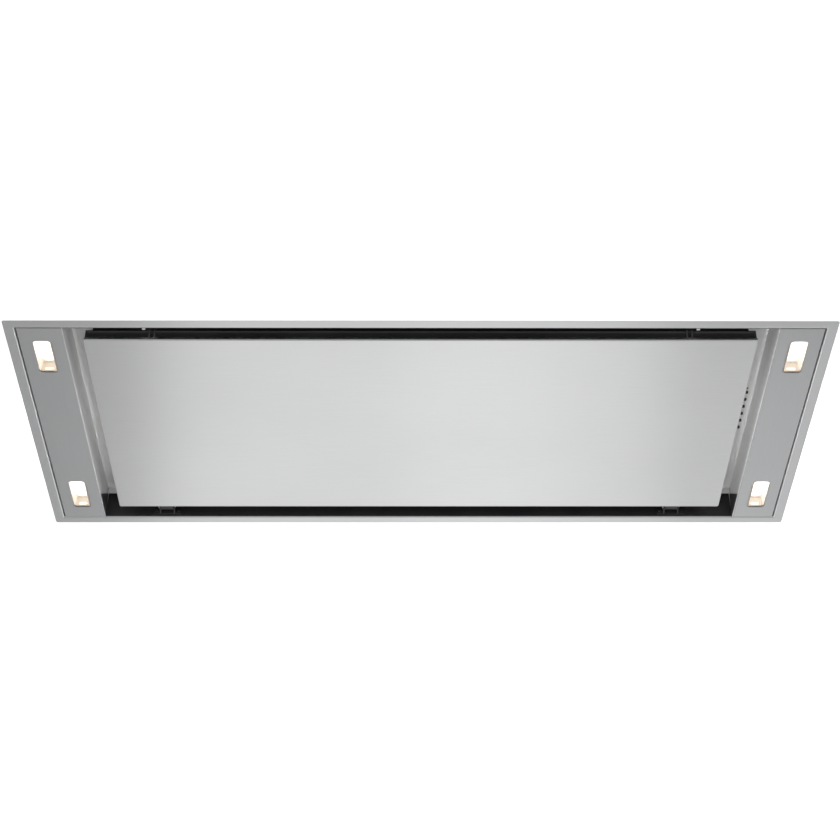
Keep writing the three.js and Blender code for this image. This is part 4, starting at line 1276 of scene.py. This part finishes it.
@dataclass
class Recess(Assembly):
    """The black end liners, the brushed side channels with their far ends, and the filter deck."""

    gusset_reach: float = 50.4
    gusset_sheet: float = 0.7
    end_height: float = 38.0
    end_sheet: float = 0.6
    clearance: float = 0.15
    lap: float = 0.4
    rivet_y: float = 213.0
    rivet_inset: float = 30.0
    rivets: int = 9

    def build(self) -> None:
        """Rounds the folds of the liners, channels and deck, and adds the deck's rivets."""
        for place in ("near", "far"):
            self.shop.refined(f"recess_liner_{place}", "black_steel", edge=0.3)
        for place in SIDES:
            self.shop.refined(f"channel_liner_{place}", "channel", edge=0.35)
            self.channel_end(place)
        self.shop.refined("filter_deck", "black_steel", edge=0.3)
        low, high = span("filter_deck")
        head = rivet(2.6, 1.1).swung(Axis.X, 180)
        xs = np.linspace(low[0] + self.rivet_inset, high[0] - self.rivet_inset, self.rivets)
        heads = head.at([(x, side * self.rivet_y, low[2] + 0.05) for side in SIGNS for x in xs])
        self.shop.piece("deck_rivets", heads, "black_steel")

    def channel_end(self, place: str) -> None:
        """A black gusset on the side wall at the far end, and the channel's turned-down end beside it.

        Args:
            place: left or right.
        """
        side = SIDES[place]
        low, high = span("recess_liner_far")
        near, foot, top = low[1] - self.clearance, low[2] - 1.0, self.end_height
        fold = low[1] + (high[1] - low[1]) * (high[2] - top) / (high[2] - low[2]) + self.lap
        start, end = near - self.gusset_reach, high[1] - self.lap
        face = np.array(((start, foot), (end, foot), (fold, top), (near, top)))
        inner = high[0] - self.gusset_sheet
        gusset = prism(face, *sorted((side * high[0], side * inner)), Axis.X, 0.1, 1)
        self.shop.piece(f"recess_gusset_{place}", [gusset], "black_steel")
        x0, x1 = sorted((side * inner, side * span("filter_deck")[1][0]))
        strip = block((x0, near - self.end_sheet, top), (x1, near, high[2]), 0.1, 0.1)
        self.shop.piece(f"channel_end_{place}", [strip], "channel")


@dataclass
class Hinge(Assembly):
    """A panel hinge: bracket on the far wall, arm on the panel and the pin between them."""

    place: str
    head: float = 5.0
    head_height: float = 1.7
    radius: float = 3.0
    bore: float = 0.6
    groove: float = 0.6
    screw: Triple = (2.6, 1.7, 2.2)
    screw_x: float = 17.5
    screw_rows: Pair = (10.0, 25.0)
    screw_depth: float = 2.0

    def build(self) -> None:
        """Rounds the pressings, turns the pin and adds the screws."""
        bracket = f"hinge_bracket_{self.place}"
        self.shop.refined(bracket, "black_steel", edge=0.4)
        self.shop.refined(f"hinge_arm_{self.place}", "black_steel", "panel", 0.4)
        self.pin()
        x, y = plan(bracket)[0][0], span(bracket)[1][1]
        head = screw(*self.screw).swung(Axis.X, 90)
        y -= self.screw_depth
        places = [(x + side * self.screw_x, y, z) for side in SIGNS for z in self.screw_rows]
        self.shop.piece(f"hinge_screws_{self.place}", head.at(places), "black_steel")

    def pin(self) -> None:
        """The pin is a turned rod with a domed head and a groove for its ring."""
        name = f"hinge_pin_{self.place}"
        low, high = span(name)
        start, end = low[0], high[0]
        head, r, bore, groove = self.head, self.radius, self.bore, self.radius - self.groove
        foot = start + self.head_height
        profile = [
            (bore, start), (head - 1.2, start), (head - 0.3, start + 0.4), (head, start + 1.0), (head, foot),
            (r, foot), (r, end - 1.5), (groove, end - 1.5), (groove, end - 0.9), (r, end - 0.9),
            (r, end - 0.4), (r - 0.4, end), (bore, end),
        ]
        rod = turned(profile, 32).along(Axis.X).moved(0, *(low + high)[1:] / 2)
        self.shop.piece(f"hinge_rod_{self.place}", [rod], "steel", node=name)


@dataclass
class Catch(Assembly):
    """A magnetic catch at the near wall: bracket with its small tab, ferrite block and pole plates."""

    place: str
    plate: float = 2.0
    gap: float = 0.1
    ferrite_inset: float = 0.2
    ferrite_rise: float = 0.8
    screw: Triple = (2.4, 1.6, 2.0)
    screw_x: float = 7.0
    screw_height: float = 30.0
    screw_depth: float = 1.5

    def build(self) -> None:
        """Rounds the bracket, builds the magnet between two plates and adds the screws."""
        bracket, magnet = f"catch_bracket_{self.place}", f"catch_magnet_{self.place}"
        self.shop.refined(bracket, "steel", edge=0.35)
        low, high = span(magnet)
        inset = np.array([self.ferrite_inset, self.plate + self.gap, 0.0])
        body = block(low + inset + [0, 0, self.ferrite_rise], high - inset, 0.6, 1.0)
        self.shop.piece(f"catch_ferrite_{self.place}", [body], "ferrite", node=magnet)
        poles = [
            block(low, (high[0], low[1] + self.plate, high[2]), 0.25, 0.4),
            block((low[0], high[1] - self.plate, low[2]), high, 0.25, 0.4),
        ]
        self.shop.piece(f"catch_poles_{self.place}", poles, "steel")
        x, y = plan(bracket)[0][0], span(bracket)[0][1]
        head = screw(*self.screw).swung(Axis.X, -90)
        y += self.screw_depth
        places = [(x + side * self.screw_x, y, self.screw_height) for side in SIGNS]
        self.shop.piece(f"catch_screws_{self.place}", head.at(places), "steel")


@dataclass
class GreaseFilter(Assembly):
    """A grease filter: an aluminium frame, layers of expanded mesh, tongues and a sliding latch."""

    index: int
    rail: float = 14.0
    corner: float = 6.0
    cell_x: float = 10.0
    cell_y: float = 5.0
    strand: float = 1.0
    tongue: float = 6.0
    tongue_half: float = 11.0
    tongue_x: float = 40.0
    tongue_rows: Pair = (1.3, 3.0)
    layer_rise: float = 1.6
    middle_rise: float = 4.4
    middle_shift: float = 0.35
    node_drop: float = 0.35
    pocket: Pair = (21.8, 13.6)
    pocket_y: float = 17.3
    pocket_wall: float = 4.0
    rivet_inset: float = 9.5

    def build(self) -> None:
        """Makes the frame, the mesh and the latch."""
        self.low, self.high = span(f"grease_filter_{self.index}")
        self.high[1] -= self.tongue
        self.frame()
        self.mesh()
        self.shop.refined(f"filter_latch_{self.index}", "black_plastic", f"latch_{self.index}", 0.5)

    def frame(self) -> None:
        """A folded rail carried round the filter, its two tongues and the frame of the latch's pocket."""
        low, high = self.low, self.high
        centre, half = (low + high)[:2] / 2, (high - low)[:2] / 2
        z0, z1, w, wall = low[2], high[2], self.rail, self.pocket_wall
        section = filleted(
            [(-w, z0), (-w * 0.35, z0), (-w * 0.2, z0 + 0.9), (0, z0 + 0.9), (0, z1), (-w, z1)],
            [0.9, 0.8, 0.8, 0.8, 1.2, 0.9], 3,
        )
        rail = framed(section, half, self.corner, 0.4).moved(*centre)
        edge = filleted([(0, z0), (wall, z0), (wall, z1), (0, z1)], 0.7, 3)
        boss = framed(edge, self.pocket, 1.0, 0.5).moved(centre[0], low[1] + self.pocket_y)
        half_width, (below, above) = self.tongue_half, self.tongue_rows
        start, end = (-half_width, high[1] - 1.0, z0 + below), (half_width, high[1] + self.tongue, z0 + above)
        tongues = block(start, end, 0.3, 2.5).at([(low[0] + self.tongue_x, 0), (high[0] - self.tongue_x, 0)])
        reach = half - self.rivet_inset
        head = rivet(2.0, 0.5).swung(Axis.X, 180).moved(*centre, z0 + 0.05)
        heads = head.at(reach * QUARTERS)
        self.shop.piece(
            f"filter_frame_{self.index}", [rail, boss, *tongues, *heads], "aluminium",
            node=f"grease_filter_{self.index}",
        )

    def mesh(self) -> None:
        """Layers of diamonds: strand j lies at y = j p + (-1) ** j (p / 2) t, and t is -1 and 1 in turn.

        Each strand is a ribbon with four points in its section, and rises and falls a little as it goes.
        """
        inset, s = self.rail - 2.0, self.strand / 2
        (x0, y0), (x1, y1) = self.low[:2] + inset, self.high[:2] - inset
        columns = 2 * int((x1 - x0) / self.cell_x)
        rows = int((y1 - y0 - self.cell_y) / self.cell_y) + 1
        j = np.arange(rows)
        swing = np.where(np.arange(columns + 1) % 2, 1.0, -1.0)
        waves = np.where(j % 2, -1.0, 1.0)[:, None] * swing[None] * self.cell_y / 2
        y = y0 + self.cell_y * (j[:, None] + 0.5) + waves
        x = np.broadcast_to(np.linspace(x0, x1, columns + 1), y.shape)
        around = np.array([[0, -s, 0], [0, 0, -s * 0.7], [0, s, 0], [0, 0, s * 0.7]])
        firsts = j * (columns + 1) * 4
        faces = (grid_faces(columns + 1, 4, False, True)[None] + firsts[:, None, None]).reshape(-1, 4)
        ends = np.arange(4)[None] + firsts[:, None]
        layers = []
        low, high = self.low[2], self.high[2]
        heights = ((low + self.layer_rise, 0.0), (low + self.middle_rise, self.middle_shift))
        for z, shift in (*heights, (high - self.layer_rise, 0.0)):
            shifted = np.clip(x + shift * self.cell_x / 2, x0, x1)
            line = np.stack([shifted, y, z + self.node_drop * swing[None] * np.ones_like(y)], -1)
            points = (line[:, :, None, :] + around[None, None]).reshape(-1, 3)
            layers.append(Form(points, (faces, ends[:, ::-1], ends + columns * 4)))
        self.shop.piece(f"filter_mesh_{self.index}", layers, "aluminium", crisp=60.0)


@dataclass
class Button(Assembly):
    """A round push button with a dished face and a flange behind the channel's wall."""

    index: int
    flange: float = 1.2
    flange_height: float = 3.3
    flange_sheet: float = 1.0
    dish: float = 0.72
    dish_depth: float = 0.3
    edge_share: float = 0.22

    def build(self) -> None:
        """A cap with a dished face: the face's height is a parabola of the radius, then a rounded rim."""
        name = f"button_{self.index}"
        low, high = (corner[2] for corner in span(name))
        centre, half = plan(name)
        foot, cap = half[0], half[0] - self.flange
        shares = np.linspace(0.1, self.dish, 6)
        face = [(a * cap, low + self.dish_depth * (1 - (a / self.dish) ** 2) + 0.02) for a in shares]
        inset, rise = rolled(self.edge_share * cap, 5)
        base = low + self.flange_height
        profile = [
            *face, *zip(cap - inset, low + rise),
            (cap, base), (foot, base), (foot, base + self.flange_sheet), (cap, base + self.flange_sheet),
            (cap, high - 0.4), (cap - 0.4, high), (0.3, high),
        ]
        form = turned(profile, 40).moved(*centre)
        self.shop.piece(f"{name}_cap", [form], "black_plastic", f"key_{self.index}", name)


@dataclass
class Indicator(Assembly):
    """The indicator's domed lens, and the module behind it and the buttons."""

    flange: float = 1.2
    flange_height: float = 1.7
    dome: float = 0.7

    def build(self) -> None:
        """Turns the lens and rounds the module."""
        low, high = (corner[2] for corner in span("indicator_lens"))
        centre, half = plan("indicator_lens")
        foot, radius, base = half[0], half[0] - self.flange, low + self.flange_height
        turn = np.linspace(1.35, 0, 7)
        dome = zip(radius * np.cos(turn), low + self.dome * (1 - np.sin(turn)))
        lens = turned([*dome, (radius, base), (foot, base), (foot, high), (0.3, high)], 32)
        self.shop.piece("indicator", [lens.moved(*centre)], "lens", node="indicator_lens")
        self.shop.refined("control_module", "grey_plastic", edge=0.5)


# ------------------------------------------------------------------ above the ceiling


@dataclass
class Casing(Assembly):
    """The galvanised casing and blower box with their beads, lap seams and screws."""

    bead_height: float = 1.8
    bead_sink: float = 0.05
    wide: float = 18.0
    narrow: float = 16.0
    side_bead: float = 250.0
    end_bead: float = 300.0
    top_bead: float = 280.0
    box_side_bead: float = 300.0
    box_end_bead: float = 210.0
    box_top_bead: float = 230.0
    side_height: float = 66.0
    side_beads: Triple = (-390, 0, 390)
    top_beads: tuple[Pair, ...] = ((-536.825, 0), (-369.375, -35), (369.375, -35), (536.825, 0))
    box_beads: Pair = (-160, 160)
    flange: float = 15.0
    lap: float = 22.0
    lap_sheet: float = 0.9
    box_rows: Pair = (160, 215)
    screw_rows: Triple = (32, 62, 94)
    flange_screws: float = 7.5

    def build(self) -> None:
        """Rounds the folds and adds what stiffens and joins the sheets."""
        for node in ("body_shell", "blower_box"):
            self.shop.refined(node, "galvanised", edge=0.8)
        self.high = span("body_shell")[1]
        self.box_low, self.box_high = span("blower_box")
        self.shop.piece("casing_beads", self.beads(), "galvanised")
        self.shop.piece("casing_seams", self.seams(), "galvanised")
        self.shop.piece("casing_screws", self.screws(), "steel")

    def beads(self) -> list[Form]:
        """Pressed beads on the long and short sides, the casing's top and the blower box.

        Returns:
            The beads.
        """
        wide, narrow = ((width, self.bead_height) for width in (self.wide, self.narrow))
        wall, z = self.box_high[:2] - self.flange, self.side_height
        forms = []
        for side in SIGNS:
            long, short = pill(self.side_bead, *wide), pill(self.end_bead, *wide)
            forms += self.on_side(long, Axis.Y, side, self.high[1]).at([(x, 0, z) for x in self.side_beads])
            forms += self.on_side(short, Axis.X, side, self.high[0]).at([(0, 0, z)])
            rows = [(0, 0, row) for row in self.box_rows]
            long, short = pill(self.box_side_bead, *narrow), pill(self.box_end_bead, *narrow)
            forms += self.on_side(long, Axis.Y, side, wall[1]).at(rows)
            forms += self.on_side(short, Axis.X, side, wall[0]).at(rows)
        case, box = (corner[2] - self.bead_sink for corner in (self.high, self.box_high))
        across, short = (pill(bead, *narrow).swung(Axis.Z, 90) for bead in (self.top_bead, self.box_top_bead))
        forms += across.at([(x, y, case) for x, y in self.top_beads])
        forms += short.at([(x, 0, box) for x in self.box_beads])
        return forms

    def on_side(self, form: Form, axis: Axis, side: int, wall: float) -> Form:
        """A form that lies flat, stood on the wall that faces an axis, long side level.

        Args:
            form: the form.
            axis: X or Y.
            side: -1 or 1 for the lower or the higher wall.
            wall: how far the wall is from the middle.

        Returns:
            The form in its place.
        """
        if axis is Axis.Y:
            return form.swung(Axis.X, -90 * side).moved(y=side * (wall - self.bead_sink))
        return form.swung(Axis.Z, 90).swung(Axis.Y, 90 * side).moved(x=side * (wall - self.bead_sink))

    def seams(self) -> list[Form]:
        """Lap strips up the corners of the casing.

        Returns:
            The strips.
        """
        bottom, top = span("body_shell")[0][2] + 1, self.high[2] - 1.5
        forms = []
        for sx, sy in QUARTERS:
            x0, x1 = sorted((sx * self.high[0], sx * (self.high[0] - self.lap)))
            y0, y1 = sorted((sy * self.high[1], sy * (self.high[1] + self.lap_sheet)))
            forms.append(block((x0, y0, bottom), (x1, y1, top), 0.2, 0.3))
        return forms

    def screws(self) -> list[Form]:
        """Screws through the corner laps and through the flange of the blower box.

        Returns:
            The screws.
        """
        forms = []
        for sx, sy in QUARTERS:
            x, y = sx * (self.high[0] - self.lap / 2), sy * (self.high[1] + self.lap_sheet - 0.05)
            places = [(x, y, z) for z in self.screw_rows]
            forms += screw(2.8, 1.6, 2.2).swung(Axis.X, -90 * sy).at(places)
        top, head = self.box_low[2] + 1.0, screw(3.0, 2.0)
        reach = self.box_high[:2] - self.flange_screws
        for side in SIGNS:
            forms += head.at([(x, side * reach[1], top) for x in np.linspace(-195, 195, 6)])
            forms += head.at([(side * reach[0], y, top) for y in np.linspace(-120, 120, 4)])
        return forms


@dataclass
class DuctCollar(Assembly):
    """The round collar with its base plate and sealing bead, and the pin across it."""

    wall: float = 1.2
    radius: float = 75.0
    seat_depth: float = 0.8
    screw_reach: float = 78.0

    def build(self) -> None:
        """Carries the collar's section from the bore over the rim and down to the square base plate."""
        low, high = span("duct_collar")
        start, end = span("damper_pin")
        axis = (start + end)[2] / 2
        steps = 20
        count = 4 * (steps + 1)
        r, inner, half = self.radius, self.radius - self.wall, high[0]
        base, seat, rim = low[2], axis - self.seat_depth, high[2]
        tube = [
            (inner, base), (inner, seat - 3.0), (inner - 3.0, seat - 1.2), (inner - 3.0, seat), (inner, seat),
            (inner, rim - 0.8), (inner + 0.2, rim), (inner + 0.9, rim), (r, rim - 0.8), (r, rim - 5.6),
            (r + 0.9, rim - 6.6), (r + 1.2, rim - 8.0), (r + 0.9, rim - 9.4), (r, rim - 10.4),
            (r, base + 3.2), (r + 0.7, base + 1.7), (r + 2.2, base + 1.0),
        ]
        plate = ((0.5, 10.5, base + 1.0), (0.0, 11, base + 0.5), (0.1, 11, base))
        rings = [level(circle(radius, count), z) for radius, z in tube]
        rings += [loop((half - i, half - i), corner, z, steps=steps) for i, corner, z in plate]
        collar = skin(rings, closed=True)
        self.shop.piece("duct_collar_skin", [collar], "galvanised", node="duct_collar", crisp=38.0)
        reach = self.screw_reach
        heads = screw(3.0, 2.0).at([(sx * reach, sy * reach, base + 0.95) for sx, sy in QUARTERS])
        self.shop.piece("collar_screws", heads, "steel")
        x0, x1 = start[0], end[0]
        profile = [(0.4, x0), (1.2, x0), (1.5, x0 + 0.4), (1.5, x1 - 0.4), (1.2, x1), (0.4, x1)]
        pin = turned(profile, 20).along(Axis.X).moved(z=axis)
        self.shop.piece("damper_rod", [pin], "steel", node="damper_pin")


@dataclass
class Flap(Assembly):
    """A non-return flap: a half disc on every other knuckle of the pin."""

    name: str
    side: int
    radius: float = DuctCollar.radius - DuctCollar.wall - 0.8
    sheet: float = 1.0
    knuckle: float = 3.0
    knuckle_length: float = 24.0
    knuckles: int = 5
    bore: float = 1.62

    def build(self) -> None:
        """A half disc: an arc that ends a little off the axis, a pressed bead, and every other knuckle."""
        start, end = span("damper_pin")
        axis = (start + end)[2] / 2
        side, low = self.side, axis - self.sheet / 2
        gap = self.knuckle + 0.3
        first = math.asin(gap / self.radius)
        turn = np.linspace(first, math.pi - first, 49)
        outline = self.radius * np.column_stack([np.cos(turn), side * np.sin(turn)])[::side]
        forms = [prism(outline, low, low + self.sheet, Axis.Z, 0.25)]
        rib = np.linspace(0.35, math.pi - 0.35, 33)
        arc = np.column_stack([np.cos(rib), side * np.sin(rib)])
        bead = ((14, -0.1), (12.6, 0.6), (11, 0.85), (9.4, 0.6), (8, -0.1))
        strip = [level(arc * (self.radius - inset), low + self.sheet + z) for inset, z in bead]
        forms.append(skin(np.stack(strip, 1)))
        reach = self.knuckle_length / 2 - 0.3
        y0, y1 = sorted((side * 1.9, side * (gap + 1.0)))
        for i in range(0 if side > 0 else 1, self.knuckles, 2):
            x = (i - (self.knuckles - 1) / 2) * self.knuckle_length
            x0, x1 = x - reach, x + reach
            wall = [(self.bore, x0), (self.knuckle, x0), (self.knuckle, x1), (self.bore, x1)]
            forms.append(turned(filleted(wall, 0.3, 2), 28, closed=True).along(Axis.X).moved(z=axis))
            forms.append(block((x0, y0, low), (x1, y1, low + self.sheet), 0.2, 0.3))
        self.shop.piece(
            f"damper_{self.name}_leaf", forms, "galvanised", f"{self.name}_flap", f"damper_flap_{self.name}"
        )


@dataclass
class Blower(Assembly):
    """Scroll halves, the wheel with its curved blades, shaft, motor and its bracket."""

    def build(self) -> None:
        """Smooths the pressings of the blower and rounds their edges."""
        for place in SIDES:
            self.shop.refined(f"scroll_housing_{place}", "galvanised", edge=0.0, crisp=35.0)
        self.shop.refined("impeller", "galvanised", "wheel", 0.0, 40.0)
        self.shop.refined("motor_shaft", "steel", "wheel", 0.2, 40.0)
        self.shop.refined("motor_body", "cast", edge=0.0, crisp=40.0, slot="filter_aluminium")
        self.shop.refined("motor_bracket", "galvanised", edge=0.3)


@dataclass
class Fittings(Assembly):
    """Hanging rails, terminal box with its gland, and the lamp driver."""

    rail_screw_x: float = 26.0
    lid_screw_inset: float = 9.0
    ear_screw_inset: float = 6.0
    rail_screw_rows: tuple[float, ...] = (-180, -60, 60, 180)
    gland_bore: float = 4.2
    rib_inset: float = 20.0
    rib_reach: float = 14.0
    ribs: int = 8

    def build(self) -> None:
        """Rounds the pressings and mouldings and adds nuts, screws and ribs."""
        heads = []
        for place in SIDES:
            node = f"hanging_rail_{place}"
            self.shop.refined(node, "galvanised", edge=0.4)
            x, z = plan(node)[0][0], span(node)[0][2] + 1.95
            xs = (x - self.rail_screw_x, x + self.rail_screw_x)
            heads += screw(3.2, 2.2).at([(at, y, z) for at in xs for y in self.rail_screw_rows])
        self.shop.piece("rail_screws", heads, "steel")
        self.terminal_box()
        self.gland()
        self.driver()

    def terminal_box(self) -> None:
        """The box and four lid screws."""
        self.shop.refined("terminal_box", "grey_plastic", edge=0.8)
        centre, half = plan("terminal_box")
        reach, top = half - self.lid_screw_inset, span("terminal_box")[1][2] - 0.5
        heads = screw(3.0, 1.0, 2.4).at([(*(centre + reach * corner), top) for corner in QUARTERS])
        self.shop.piece("lid_screws", heads, "steel")

    def gland(self) -> None:
        """A chamfered hexagonal nut between a thread and a domed cap."""
        low, high = span("cable_gland")
        start, end, bore, cap = low[0], high[0], self.gland_bore, self.gland_bore - 0.1
        nut = hex_nut(19.0, end - 9.0, end, bore)
        thread = filleted([(bore, end - 15), (8.2, end - 15), (8.2, end - 8), (bore, end - 8)], 0.3, 2)
        dome = filleted(
            [(cap, start), (6.0, start), (9.0, start + 6), (9.0, end - 10.5), (cap, end - 10.5)],
            [0.4, 1.5, 2.0, 0.4, 0.2],
        )
        forms = [nut, turned(thread, 36, closed=True), turned(dome, 36, closed=True)]
        forms = [form.along(Axis.X).moved(0, *(low + high)[1:] / 2) for form in forms]
        self.shop.piece("cable_gland_body", forms, "black_plastic", node="cable_gland")

    def driver(self) -> None:
        """The driver's case with cooling ribs along its lid and a screw in each ear."""
        self.shop.refined("lamp_driver", "grey_plastic", edge=0.7)
        low, high = span("lamp_driver")
        y = (low + high)[1] / 2
        x0, x1 = low[0] + self.rib_inset, high[0] - self.rib_inset
        rib = block((x0, y - 0.8, high[2] - 0.3), (x1, y + 0.8, high[2]), 0.1, 0.4)
        ribs = rib.at([(0, dy) for dy in np.linspace(-self.rib_reach, self.rib_reach, self.ribs)])
        self.shop.piece("driver_ribs", ribs, "grey_plastic")
        ears = (low[0] + self.ear_screw_inset, high[0] - self.ear_screw_inset)
        heads = screw(2.8, 1.8, 2.2).at([(x, y, low[2] + 1.95) for x in ears])
        self.shop.piece("driver_screws", heads, "steel")


# ------------------------------------------------------------------ studio


@dataclass(frozen=True)
class SoftBox:
    """An area light: its place, aim and size in metres, its power in watts and its spread in degrees."""

    name: str
    place: Triple
    aim: Triple
    size: Pair
    power: float
    spread: float = 180.0

    def build(self) -> None:
        """Places the light and turns it to its aim."""
        light = bpy.data.lights.new(self.name, "AREA")
        light.shape, light.energy, light.spread = "RECTANGLE", self.power, math.radians(self.spread)
        light.size, light.size_y = self.size
        obj = bpy.data.objects.new(self.name, light)
        obj.location = self.place
        obj.rotation_euler = (Vector(self.aim) - Vector(self.place)).to_track_quat("-Z", "Y").to_euler()
        bpy.context.scene.collection.objects.link(obj)


SOFT_BOXES = (
    SoftBox("soft_box_far", (0.0, 2.65, -2.5), (0.0, 0.0, 0.0), (1.9, 2.4), 10.2),
    SoftBox("soft_box_core", (0.26, 2.85, -2.3), (0.26, 0.0, 0.0), (0.6, 1.7), 0.5),
    SoftBox("soft_box_right", (1.5, 2.9, -1.7), (0.6, 0.0, 0.0), (1.0, 1.6), 2.4),
    SoftBox("soft_box_channel_left", (0.6, 0.0, -2.2), (-0.5, 0.0, 0.0), (0.3, 0.4), 0.19, 12.0),
    SoftBox("soft_box_channel_right", (-0.6, 0.0, -2.2), (0.5, 0.0, 0.0), (0.3, 0.4), 0.27, 12.0),
    SoftBox("soft_box_above", (-1.6, -1.9, 2.8), (0.0, 0.0, 0.1), (1.6, 1.6), 40.0),
    SoftBox("soft_box_behind", (2.4, 1.6, 2.2), (0.0, 0.0, 0.1), (1.8, 1.8), 20.0),
)


@dataclass
class Studio(Assembly):
    """Ceiling board, floor, world, lamps and camera."""

    board_half: float = 2600.0
    board_layers: Triple = (1.7, 8.0, 14.2)
    cut: Pair = (588.5, 238.5)
    floor_half: float = 8000.0
    floor_top: float = -3300.0
    daylight: float = 0.85
    focal_length: float = 74.28
    camera_place: Triple = (-0.0211, -2.1019, -1.652)
    camera_turn: float = -0.5657
    camera_pitch: float = 38.468
    camera_roll: float = -0.3234

    def build(self) -> None:
        """Sets the whole studio."""
        self.board()
        half, top = self.floor_half, self.floor_top
        self.scenery("floor", prism(rounded((half, half), 1.0, 1), top - 10, top, Axis.Z, 1.0), "floor")
        self.world()
        for box in SOFT_BOXES:
            box.build()
        self.camera()

    def board(self) -> None:
        """The ceiling is a board with a cut-out: a box section carried round the casing, in two layers."""
        reach = self.board_half - self.cut[0]
        low, middle, high = self.board_layers
        layers = (("ceiling_skin", "ceiling", low, middle), ("ceiling_top", "board", middle, high))
        for name, finish, z0, z1 in layers:
            section = np.array([[0, z0], [reach, z0], [reach, z1], [0, z1]])
            self.scenery(name, framed(section, self.cut, 0.5, 0.0), finish)

    def scenery(self, name: str, form: Form, finish: str) -> None:
        """Makes a mesh that isn't part of the hood.

        Args:
            name: the object's name.
            form: its points and faces in millimetres.
            finish: the name of its finish.
        """
        mesh = self.shop.mesh(name, form)
        mesh.materials.append(self.shop.material(finish))
        self.shop.shown(mesh)

    def world(self) -> None:
        """White where the camera, metal and glass look, and a plain level of light on everything else."""
        g = Graph(bpy.data.worlds.new("studio"))
        white = (1.0, 1.0, 1.0, 1.0)
        lit = [g.add("Background", {"Color": white, "Strength": s}).outputs[0] for s in (self.daylight, 1.0)]
        mix = g.add("MixShader", {0: g.seen(1.0), 1: lit[0], 2: lit[1]})
        bpy.context.scene.world = g.end(mix, "OutputWorld")

    def camera(self) -> None:
        """The photograph's camera: below and in front of the hood, looking up at its underside."""
        data = bpy.data.cameras.new("camera")
        data.lens, data.sensor_width, data.sensor_fit = self.focal_length, 36.0, "AUTO"
        data.clip_start, data.clip_end = 0.05, 100.0
        obj = bpy.data.objects.new("camera", data)
        turns = ((self.camera_turn, "Z"), (90.0 + self.camera_pitch, "X"), (self.camera_roll, "Z"))
        turn, pitch, roll = (Matrix.Rotation(math.radians(angle), 4, axis) for angle, axis in turns)
        obj.matrix_world = Matrix.Translation(self.camera_place) @ turn @ pitch @ roll
        bpy.context.scene.collection.objects.link(obj)
        bpy.context.scene.camera = obj


def corners(box: tuple[Vector, Vector]) -> list[list[float]]:
    """A box as plain lists."""
    return [list(map(float, corner)) for corner in box]


def main() -> None:
    """Builds the studio and every sub-assembly in order."""
    logging.basicConfig(level=logging.INFO, format="%(message)s")
    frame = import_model()
    scene = bpy.context.scene
    scene.view_settings.view_transform = "Standard"
    shop = Workshop(frame)
    parts = [Studio(shop), CeilingBorder(shop), SuctionPanel(shop)]
    parts += [LightCover(shop, place) for place in SIDES]
    parts += [Lamp(shop, f"{end}_{place}") for place in SIDES for end in ("near", "far")]
    parts += [Recess(shop)]
    parts += [kind(shop, place) for kind in (Hinge, Catch) for place in SIDES]
    parts += [GreaseFilter(shop, index) for index in (1, 2, 3)]
    parts += [Button(shop, index) for index in range(1, 7)]
    parts += [Indicator(shop), Casing(shop), DuctCollar(shop), Flap(shop, "near", -1), Flap(shop, "far", 1)]
    parts += [Blower(shop), Fittings(shop)]
    for part in parts:
        part.build()
    shown = [name for name, node in frame["nodes"].items() if not node.hide_render]
    log.info("CAD nodes still shown: %s", shown)


if __name__ == "__main__":
    main()
